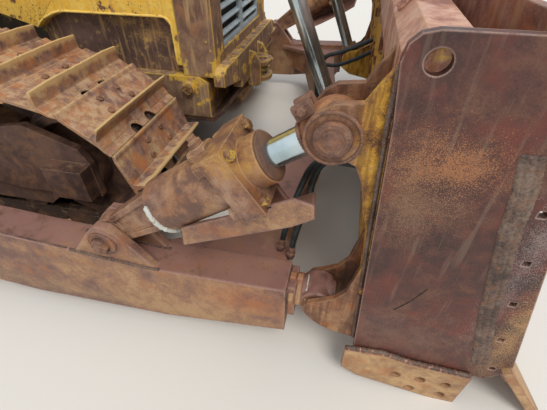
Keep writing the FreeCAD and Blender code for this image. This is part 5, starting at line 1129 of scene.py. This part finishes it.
class DOZER_OT_stage(bpy.types.Operator):
    """Makes the pale floor, the soft daylight and the camera"""

    bl_idname = "dozer.stage"
    bl_label = "Stage"

    def execute(self, context):
        look = context.scene.dozer_stage
        scene = context.scene
        scene.view_settings.view_transform = "Standard"
        mesh = bpy.data.meshes.new("floor")
        corners = [(x * FLOOR_HALF, y * FLOOR_HALF, 0) for x, y in ((-1, -1), (1, -1), (1, 1), (-1, 1))]
        mesh.from_pydata(corners, [], [(0, 1, 2, 3)])
        material, tree, shader = blank_material("painted_studio_floor", "#DEDBD5")
        shader.inputs["Base Color"].default_value = (*look.floor, 1.0)
        shader.inputs["Roughness"].default_value = 0.85
        mesh.materials.append(material)
        floor = bpy.data.objects.new("floor", mesh)
        scene.collection.objects.link(floor)
        world = bpy.data.worlds.new("daylight")
        world.use_nodes = True
        tree = world.node_tree
        tree.nodes.clear()
        seen = 0.0
        for kind in ("Is Camera Ray", "Is Glossy Ray", "Is Transmission Ray"):
            ray = add(tree, "ShaderNodeLightPath", out=kind)
            seen = add(tree, "ShaderNodeMath", {0: seen, 1: ray}, operation="MAXIMUM")
        plain = add(tree, "ShaderNodeBackground", {"Color": (*SKY_TINT, 1.0), "Strength": look.sky})
        white = add(tree, "ShaderNodeBackground", {"Color": (1.0, 1.0, 1.0, 1.0), "Strength": 1.0})
        mixed = add(tree, "ShaderNodeMixShader", {0: seen, 1: plain, 2: white})
        output = tree.nodes.new("ShaderNodeOutputWorld")
        tree.links.new(mixed, output.inputs["Surface"])
        scene.world = world
        lamp = bpy.data.lights.new("soft_sun", "SUN")
        lamp.energy = look.sun
        lamp.angle = math.radians(SUN_WIDTH)
        lamp.color = SUN_TINT
        sun = bpy.data.objects.new("soft_sun", lamp)
        sun.rotation_mode = "QUATERNION"
        sun.rotation_quaternion = Vector(SUN_WAY).to_track_quat("Z", "Y")
        scene.collection.objects.link(sun)
        lens = bpy.data.cameras.new("camera")
        lens.sensor_width = SENSOR_MM
        lens.lens = FOCAL_PIXELS / PICTURE_WIDTH * SENSOR_MM
        lens.clip_start = 0.02
        lens.clip_end = 500
        camera = bpy.data.objects.new("camera", lens)
        right, up = Vector(CAMERA_RIGHT).normalized(), Vector(CAMERA_UP).normalized()
        turn = Matrix((right, up, right.cross(up))).transposed().to_4x4()
        camera.matrix_world = Matrix.Translation(look.eye) @ turn
        scene.collection.objects.link(camera)
        scene.camera = camera
        return {"FINISHED"}


class DOZER_OT_finishes(bpy.types.Operator):
    """Gives every piece of the frame its worn finish"""

    bl_idname = "dozer.finishes"
    bl_label = "Finishes"

    def execute(self, context):
        for name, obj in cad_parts.items():
            if name not in FINISHES:
                raise RuntimeError("no finish is named for " + name)
            material = finish_of(FINISHES[name])
            if not obj.data.materials:
                obj.data.materials.append(material)
            for index in range(len(obj.material_slots)):
                obj.material_slots[index].material = material
        return {"FINISHED"}


class DOZER_OT_tracks(bpy.types.Operator):
    """Dresses both chains: shoes with worn bars, round notches and bolts, link strips, bushings and pins"""

    bl_idname = "dozer.tracks"
    bl_label = "Tracks"

    def execute(self, context):
        track = context.scene.dozer_track
        places = chain_places(track.phase)
        head = hexagon_head(track.bolt_radius, 0.013)
        bolts = joined([shifted(stamped(head, chain_axes(places, share, PLATE_RISE - 0.001)), (0, y, 0))
                        for share, y in SHOE_BOLTS])
        strip = slab([(-0.030, -0.024), (-0.008, -0.044), (0.028, -0.0495), (0.201, -0.0495), (0.236, -0.040),
                      (0.222, -0.006), (0.212, 0.022), (0.206, 0.0615), (0.023, 0.0615), (0.004, 0.044),
                      (-0.026, 0.020)], -0.0225, 0.0225)
        pins = chain_axes(places, 0.0, 0.0)
        strips = joined([shifted(stamped(strip, pins[start::2]), (0, hand * (LINK_STRIP + over), 0))
                         for hand in (-1, 1) for start, over in ((0, 0.0), (1, LINK_SET_OVER))])
        bushing = turned_to(turned([(0.0, -0.05), (0.030, -0.05), (0.030, 0.05), (0.0, 0.05)], 12), *ALONG_Y)
        pin = turned_to(turned([(0.0, -0.104), (0.019, -0.104), (0.023, -0.100), (0.023, 0.100),
                                (0.019, 0.104), (0.0, 0.104)], 12), *ALONG_Y)
        round_parts = stamped(joined([bushing, pin]), pins)
        for side, label, seed in ((-1, "right", 31), (1, "left", 32)):
            middle = side * TRACK_MIDDLE
            points, faces, worn = shoe_skins(track, places, middle, np.random.default_rng(seed))
            shoes = piece("track_shoes_" + label, (points, faces), shoe_rust, "tractor")
            layer = shoes.data.attributes.new("worn", "FLOAT", "POINT")
            layer.data.foreach_set("value", worn.astype(np.float32))
            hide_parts("track_" + label)
            chain = joined([strips, round_parts])
            piece("track_links_" + label, shifted(chain, (0, middle, 0)), chain_steel, "tractor")
            piece("shoe_bolts_" + label, shifted(bolts, (0, middle, 0)), bolt_rust, "tractor")
        return {"FINISHED"}


class DOZER_OT_cylinders(bpy.types.Operator):
    """Adds bolts, gland rings, weld rings, the split clamps and pin caps to the tilt and lift cylinders"""

    bl_idname = "dozer.cylinders"
    bl_label = "Cylinders"

    def execute(self, context):
        spread = (-TILT_FLANGE_BOLT, TILT_FLANGE_BOLT)
        corners = [(TILT_FLANGE, y, z) for y in spread for z in spread]
        flange_bolts = screw_row(corners, ALONG_X, 0.021, 0.018)
        wiper = turned([(0.0445, 0.0), (0.078, 0.0), (0.078, 0.006), (0.066, 0.012), (0.0445, 0.012)], 40)
        wiper = shifted(turned_to(wiper, *ALONG_X), (TILT_GLAND, 0, 0))
        paint_ring = bead(hoop(WELD_RING, WELD_RING_RADIUS, 385, 145, 60), 0.009, seed=4, ripple=0.02)
        seam = bead(hoop(TILT_SEAM, TILT_SEAM_RADIUS), 0.006, seed=5)
        lugs = joined([box_shape((0.610, y, z), (0.642, y + 0.050, z + 0.050), 0.012)
                       for y in (-0.112, 0.062) for z in (-0.112, 0.062)])
        port = joined([
            box_shape((0.560, -0.034, 0.088), (0.632, 0.034, 0.128), 0.010),
            shifted(turned([(0.022, 0.0), (0.022, 0.022), (0.015, 0.026), (0.015, 0.040), (0.0, 0.040)], 16),
                    (0.596, 0.0, 0.126)),
        ])
        reach = math.hypot(TILT_HEAD[0] - TILT_FOOT[0], TILT_HEAD[1] - TILT_FOOT[1])
        ears = joined([box_shape((reach - 0.072, y, 0.060), (reach - 0.018, y + 0.026, 0.104), 0.006)
                       for y in (-0.036, 0.010)])
        clamp = joined([ears, screw_row([(reach - 0.045, -0.036, 0.088)], ALONG_MINUS_Y, 0.014, 0.012),
                        screw_row([(reach - 0.045, 0.036, 0.088)], ALONG_Y, 0.014, 0.012)])
        collar = bead(hoop(reach - 0.088, 0.049), 0.006, seed=6)
        cap = turned([(0.050, 0.0), (0.050, 0.008), (0.046, 0.012), (0.034, 0.012), (0.032, 0.008),
                      (0.0, 0.008)], 40)
        rim = hoop(0.0, 0.072)[:, (1, 2, 0)]
        cap = joined([cap, bead(rim, 0.005, seed=7)])
        gland_ring = turned([(0.0405, 0.0), (0.070, 0.0), (0.070, 0.010), (0.056, 0.016), (0.0405, 0.016)],
                            32)
        gland = joined([
            shifted(turned_to(gland_ring, *ALONG_X), (LIFT_GLAND, 0, 0)),
            box_shape((0.586, -0.092, -0.034), (0.630, 0.092, 0.034), 0.010),
            screw_row([(0.630, -0.078, 0), (0.630, 0.078, 0)], ALONG_X, 0.016, 0.014),
        ])
        shank = turned([(0.0, ROD_END), (SHANK_RADIUS, ROD_END), (SHANK_RADIUS, ROD_JOIN), (0.0, ROD_JOIN)],
                       40)
        shank = turned_to(shank, *ALONG_X)
        lift_reach = math.hypot(LIFT_HEAD[0] - LIFT_FOOT[0], LIFT_HEAD[1] - LIFT_FOOT[1])
        start = lift_reach - 0.104
        bolts = [(start, y, z) for y in (-0.034, 0.034) for z in (-0.046, 0.046)]
        plate = joined([box_shape((start, -0.050, -0.062), (start + 0.022, 0.050, 0.062), 0.008),
                        screw_row(bolts, ALONG_MINUS_X, 0.013, 0.012)])
        for side, tag in ((-1, "r"), (1, "l")):
            tilt = [on_slope(TILT_FOOT, TILT_HEAD, side, TILT_HALF)]
            lift = [on_slope(LIFT_FOOT, LIFT_HEAD, side, LIFT_HALF)]
            ring = mirrored(paint_ring) if side > 0 else paint_ring
            tilt_barrel, tilt_rod = "tilt_barrel_" + tag, "tilt_rod_" + tag
            piece("tilt_head_bolts_" + tag, stamped(flange_bolts, tilt), sprayed_bolt, tilt_barrel)
            piece("tilt_wiper_" + tag, stamped(wiper, tilt), frame_rust_and_shade, tilt_barrel, True)
            piece("tilt_weld_ring_" + tag, stamped(ring, tilt), chalky_paint, tilt_barrel, True)
            piece("tilt_seams_" + tag, stamped(joined([seam, lugs, port]), tilt), barrel_steel, tilt_barrel)
            piece("tilt_clamp_" + tag, stamped(joined([clamp, collar]), tilt), pitted_knuckle, tilt_rod)
            outward = (0.0, float(side), 0.0)
            piece("tilt_pin_cap_" + tag,
                  placed(cap, (TILT_HEAD[0], side * (TILT_HALF + 0.0765), TILT_HEAD[1]), outward),
                  pitted_knuckle, "blade", True)
            piece("lift_gland_" + tag, stamped(gland, lift), frame_rust_and_shade, "lift_barrel_" + tag)
            piece("lift_rod_shank_" + tag, stamped(shank, lift), lift_rod_chrome, "lift_rod_" + tag,
                  True)
            piece("lift_end_plate_" + tag, stamped(plate, lift), pitted_knuckle, "lift_rod_" + tag)
        return {"FINISHED"}


class DOZER_OT_arms(bpy.types.Operator):
    """Adds the weld beads, the clevis pin's ring and nut and the split collar to the push arms"""

    bl_idname = "dozer.arms"
    bl_label = "Push arms"

    def execute(self, context):
        ear_foot = [(1.075, -1.636, 0.4895), (1.11, -1.637, 0.486), (1.30, -1.637, 0.472),
                    (1.44, -1.637, 0.462), (1.478, -1.636, 0.4625)]
        inner_foot = [(x, -1.519, z) for x, _, z in ear_foot]
        plate_edge = [(1.345, -1.4895, 0.4375), (1.50, -1.4895, 0.4375), (1.70, -1.4895, 0.4375),
                      (1.97, -1.4895, 0.4375)]
        front = [(1.9995, -1.500, 0.47), (1.9995, -1.500, 0.290)]
        nose = [(1.9905, -1.505, 0.2905), (2.002, -1.505, 0.2905), (2.002, -1.505, 0.4695),
                (2.002, -1.6145, 0.4695), (2.002, -1.6145, 0.2905), (2.002, -1.505, 0.2905)]
        top_seam = [(0.745, -1.632, 0.5125), (1.06, -1.632, 0.4895)]
        rear_seam = [(0.10, -1.632, 0.5605), (0.745, -1.632, 0.5125)]
        beads = joined([bead(path, radius, seed) for seed, (path, radius) in enumerate((
            (ear_foot, 0.007), (inner_foot, 0.007), (plate_edge, 0.007), (front, 0.005), (nose, 0.006),
            (top_seam, 0.004), (rear_seam, 0.004)), start=20)])
        ring = placed(turned([(0.058, 0.0), (0.058, 0.006), (0.054, 0.010), (0.038, 0.010), (0.038, 0.004),
                              (0.0, 0.004)], 36), (TILT_FOOT[0], -PIN_RING_Y, TILT_FOOT[1]), (0, -1, 0))
        nut = screw_row([(TILT_FOOT[0], -PIN_NUT_Y, TILT_FOOT[1])], ALONG_MINUS_Y, 0.036, 0.026)
        stud = placed(turned([(0.017, 0.0), (0.017, 0.034), (0.013, 0.038), (0.0, 0.038)], 20),
                      (TILT_FOOT[0], -PIN_NUT_Y, TILT_FOOT[1]), (0, -1, 0))
        band = joined([
            turned_to(turned([(0.0595, 0.0), (0.066, 0.002), (0.066, 0.022), (0.0595, 0.024)], 40), *ALONG_X),
            box_shape((0.0, -0.016, 0.058), (0.024, 0.016, 0.084), 0.004),
        ])
        collar = joined([shifted(band, (x, -SOCKET_Y, SOCKET_Z)) for x in SOCKET_COLLARS])
        key = shifted(box_shape((0.0, -0.010, 0.0), (0.030, 0.010, 0.016), 0.003),
                      (SOCKET_KEY, -SOCKET_Y, SOCKET_Z + 0.059))
        thin_ring = turned([(0.0595, 0.0), (0.0645, 0.001), (0.0645, 0.006), (0.0595, 0.007)], 40)
        thin_ring = shifted(turned_to(thin_ring, *ALONG_X), (SOCKET_RING, -SOCKET_Y, SOCKET_Z))
        piece("arm_welds", both_sides(beads), weld_rust, "push_frame", True)
        piece("clevis_pin_nuts", both_sides(joined([ring, nut, stud])), pitted_knuckle, "push_frame")
        piece("socket_collars", both_sides(joined([collar, key])), edge_rust, "push_frame")
        piece("socket_rings", both_sides(thin_ring), chalky_paint, "push_frame")
        return {"FINISHED"}


class DOZER_OT_blade(bpy.types.Operator):
    """Adds the blade's weld beads, flame-cut rims and the strips on its back"""

    bl_idname = "dozer.blade"
    bl_label = "Blade"

    def execute(self, context):
        face = -BLADE_CORNER
        rough = np.random.default_rng(51)
        seam = [(2.528, face, 1.18), (2.556, face, 1.079), (2.572, face, 0.969), (2.647, face, 0.631),
                (2.735, face, 0.305)]
        wear_top = [(x, face - 0.011, z) for x, z in (
            (2.257, 0.2485), (2.400, 0.2645), (2.500, 0.2385), (2.736, 0.2245))]
        lug_seams = [[(2.262, y, 0.560), (2.2835, y, 0.275)] for y in (-1.4705, -1.6495)]
        bracket_seams = [[(2.2455, y, 0.835), (2.2235, y, 1.215), (2.2235, y, 1.325)]
                         for y in (-1.482, -1.638)]
        inner = [(2.262, -1.6495, 0.60), (2.2475, -1.6495, 0.80), (2.2235, -1.6495, 1.21),
                 (2.2215, -1.6495, 1.34)]
        runs = ((-0.017, 0.010), (0.0, 0.014), (0.019, 0.011))
        band = joined([bead(np.array(seam) + (shift, 0, 0), radius, 41 + number, ripple=0.016)
                       for number, (shift, radius) in enumerate(runs)])
        band = (band[0] * (1, 0.45, 1) + (0, face * 0.55, 0), band[1])
        beads = joined([band, bead(wear_top, 0.010, 43, ripple=0.022)]
                       + [bead(path, 0.007, 44 + number) for number, path in enumerate(lug_seams)]
                       + [bead(path, 0.006, 47 + number) for number, path in enumerate(bracket_seams)]
                       + [bead(inner, 0.007, 49)])
        back_strips = joined([
            bead([(2.2275, y, 1.365), (2.262, y, 1.4045), (2.345, y, 1.4045)], 0.006, 52 + number)
            for number, y in enumerate((-1.25, -1.29, -0.42, -0.46))])
        steps = np.linspace(2.2575, 2.7355, 60)
        burr = np.stack([steps, np.full(60, face - 0.0115), np.interp(
            steps, (2.257, 2.400, 2.500, 2.736), (0.2465, 0.2635, 0.2375, 0.2225))
            + rough.normal(0, 0.0022, 60)], 1)
        # A thin near-black bead along the gouge: painted shade in the groove.
        gouge = [(2.380, face, 0.538), (2.401, face, 0.570), (2.425, face, 0.610), (2.454, face, 0.680)]
        piece("end_plate_gouge_painted_shade", bead(gouge, 0.0024, 58, 8, 0.03), dark_core, "blade", True)
        piece("blade_welds", both_sides(beads), weld_rust, "blade", True)
        piece("wear_plate_burrs", both_sides(bead(burr, 0.0085, 57, ripple=0.03)), flame_cut, "blade",
              True)
        piece("blade_back_strips", both_sides(back_strips), flame_cut, "blade", True)
        return {"FINISHED"}


class DOZER_OT_fittings(bpy.types.Operator):
    """Adds recess rims, guard rings, drive and canopy bolts, door latches, lamp glasses and lever grips"""

    bl_idname = "dozer.fittings"
    bl_label = "Fittings"

    def execute(self, context):
        lip = [(0.316, 1.050), (0.350, 1.080), (0.380, 1.098), (0.415, 1.114), (0.450, 1.128), (0.485, 1.137),
               (0.520, 1.142), (0.80, 1.142), (1.116, 1.142), (1.136, 1.136), (1.152, 1.122), (1.160, 1.102),
               (1.160, 0.90)]
        rim = [(x, -RECESS_Y, z) for x, z in lip]
        # The lip's light yellow is a painted highlight along the recess's border.
        piece("recess_rims_painted_highlight", both_sides(bead(rim, 0.0065, 61, 8, 0.05)), lip_painted_highlight, "tractor",
              True)
        ring = turned([(0.016, 0.0), (0.034, 0.0), (0.034, 0.010), (0.030, 0.014), (0.020, 0.014),
                       (0.016, 0.010)], 32)
        rings = stamped(ring, [(GUARD_BOSS, *ALONG_MINUS_Y)])
        piece("guard_boss_rings", both_sides(rings), sprayed_bolt, "tractor")
        drive_x, drive_z, _ = SPROCKET
        cover = [(drive_x + x, -1.1915, drive_z + z) for x, z in ring_of(12, 0.150)]
        inner = [(drive_x + x, -1.1015, drive_z + z) for x, z in ring_of(16, 0.190, 0.1)]
        piece("drive_bolts", both_sides(screw_row(cover + inner, ALONG_MINUS_Y, 0.015, 0.016)), frame_rust_and_shade,
              "tractor")
        feet = []
        posts_low, posts_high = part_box("canopy_posts")
        half = posts_high[1]
        for x0 in (posts_low[0], posts_high[0] - 0.24):
            for dx in (0.025, 0.215):
                for dy in (0.025, 0.195):
                    feet.append((x0 + dx, -half + dy, 1.5098))
        piece("canopy_foot_bolts", both_sides(screw_row(feet, ALONG_Z, 0.016, 0.014)), sprayed_bolt,
              "tractor")
        latch = joined([
            turned([(0.030, 0.0), (0.030, 0.005), (0.026, 0.008), (0.0, 0.008)], 24),
            box_shape((-0.050, -0.009, 0.006), (0.022, 0.009, 0.018), 0.003),
        ])
        for side, tag in ((-1, "right"), (1, "left")):
            latches = stamped(latch, [((x, -LATCH_Y, LATCH_Z), *ALONG_MINUS_Y) for x in LATCH_XS])
            latches = mirrored(latches) if side > 0 else latches
            piece("door_latches_" + tag, latches, pitted_knuckle, "door_" + tag[0], True)
        dome = turned([(0.0655, 0.0), (0.0655, 0.004), (0.058, 0.009), (0.040, 0.013), (0.020, 0.015),
                       (0.0, 0.0155)], 32)
        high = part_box("lamps")[1]
        roof_y = high[1] - ROOF_LAMP_INSET
        roof_front = (ROOF_LAMP_FRONT, -roof_y, ROOF_LAMP_Z)
        roof_rear = (ROOF_LAMP_REAR, -roof_y, ROOF_LAMP_Z)
        front = stamped(dome, [(NOSE_LAMP, *ALONG_X), (roof_front, *ALONG_X)])
        rear = stamped(dome, [(roof_rear, *ALONG_MINUS_X)])
        piece("lamp_glasses", both_sides(joined([front, rear])), lamp_glass, "tractor", True)
        grip = turned([(0.0, -0.0345), (0.014, -0.032), (0.026, -0.023), (0.0335, -0.008), (0.0345, 0.004),
                       (0.031, 0.017), (0.021, 0.028), (0.010, 0.034), (0.0, 0.0355)], 28)
        boot = turned([(0.055, 0.0), (0.054, 0.012), (0.040, 0.020), (0.042, 0.030), (0.028, 0.038),
                       (0.030, 0.048), (0.017, 0.056), (0.0, 0.056)], 28)
        grips = joined([shifted(grip, (x, y, grip_z)) for x, y, grip_z, _ in LEVERS]
                       + [shifted(boot, (x, y, boot_z)) for x, y, _, boot_z in LEVERS])
        piece("lever_grips", grips, hose_rubber, "tractor", True)
        return {"FINISHED"}


class DOZER_OT_seat(bpy.types.Operator):
    """Makes the padded seat: cushion, back and arm pads with sewn channels"""

    bl_idname = "dozer.seat"
    bl_label = "Seat"

    def execute(self, context):
        pan = shifted(box_shape((-0.235, -0.262, -0.014), (0.235, 0.262, 0.014), 0.010), (-1.455, 0.0, 1.806))
        shell = turned_by(box_shape((-0.018, -0.240, -0.290), (0.004, 0.240, 0.290), 0.008),
                          math.radians(SEAT_LEAN), (-1.812, 0.0, 2.190))
        arms = (-ARM_Y, ARM_Y)
        posts = [box_shape((-1.520, y - 0.022, 1.4815), (-1.460, y + 0.022, 2.088), 0.006) for y in arms]
        rails = [box_shape((-1.690, y - 0.026, 2.078), (-1.270, y + 0.026, 2.088), 0.003) for y in arms]
        frame_parts = piece("seat_frame", joined([pan, shell]), lining_steel, "tractor")
        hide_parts("seat")
        arm_posts = piece("armrest_posts", joined(posts + rails), lining_steel, "tractor")
        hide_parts("armrests")
        for name, half, lean, middle, voxel, most, fill, face, depth in SEAT_PADS:
            pad = padded_piece(name, turned_by(pillow(half), math.radians(lean), middle), voxel, most)
            if depth:
                channels(pad, face, SEAT_CHANNELS, depth)
        return {"FINISHED"}


class DOZER_OT_hoses(bpy.types.Operator):
    """Hangs the black hoses between the push frame and the blade, with their hexagon fittings"""

    bl_idname = "dozer.hoses"
    bl_label = "Hoses"

    def execute(self, context):
        for name, route in HOSE_ROUTES:
            hang_hose(name, route)
        return {"FINISHED"}


CLASSES = (TrackSizes, StageLook, DOZER_OT_stage, DOZER_OT_finishes, DOZER_OT_tracks, DOZER_OT_cylinders,
           DOZER_OT_arms, DOZER_OT_blade, DOZER_OT_fittings, DOZER_OT_seat, DOZER_OT_hoses)
STEPS = ("stage", "finishes", "tracks", "cylinders", "arms", "blade", "fittings", "seat", "hoses")


class DOZER_PT_panel(bpy.types.Panel):
    """Lists the bulldozer's steps in the sidebar"""

    bl_idname = "DOZER_PT_panel"
    bl_label = "Bulldozer"
    bl_space_type = "VIEW_3D"
    bl_region_type = "UI"
    bl_category = "Bulldozer"

    def draw(self, context):
        for step in STEPS:
            self.layout.operator("dozer." + step)


def register():
    """Adds the classes and gives the scene its two groups of settings."""
    for item in (*CLASSES, DOZER_PT_panel):
        bpy.utils.register_class(item)
    bpy.types.Scene.dozer_track = bpy.props.PointerProperty(type=TrackSizes)
    bpy.types.Scene.dozer_stage = bpy.props.PointerProperty(type=StageLook)


def unregister():
    """Takes back what register added."""
    del bpy.types.Scene.dozer_stage
    del bpy.types.Scene.dozer_track
    for item in reversed((*CLASSES, DOZER_PT_panel)):
        bpy.utils.unregister_class(item)


def main():
    """Makes every piece in order."""
    register()
    for step in STEPS:
        getattr(bpy.ops.dozer, step)()


if __name__ == "__main__":
    main()
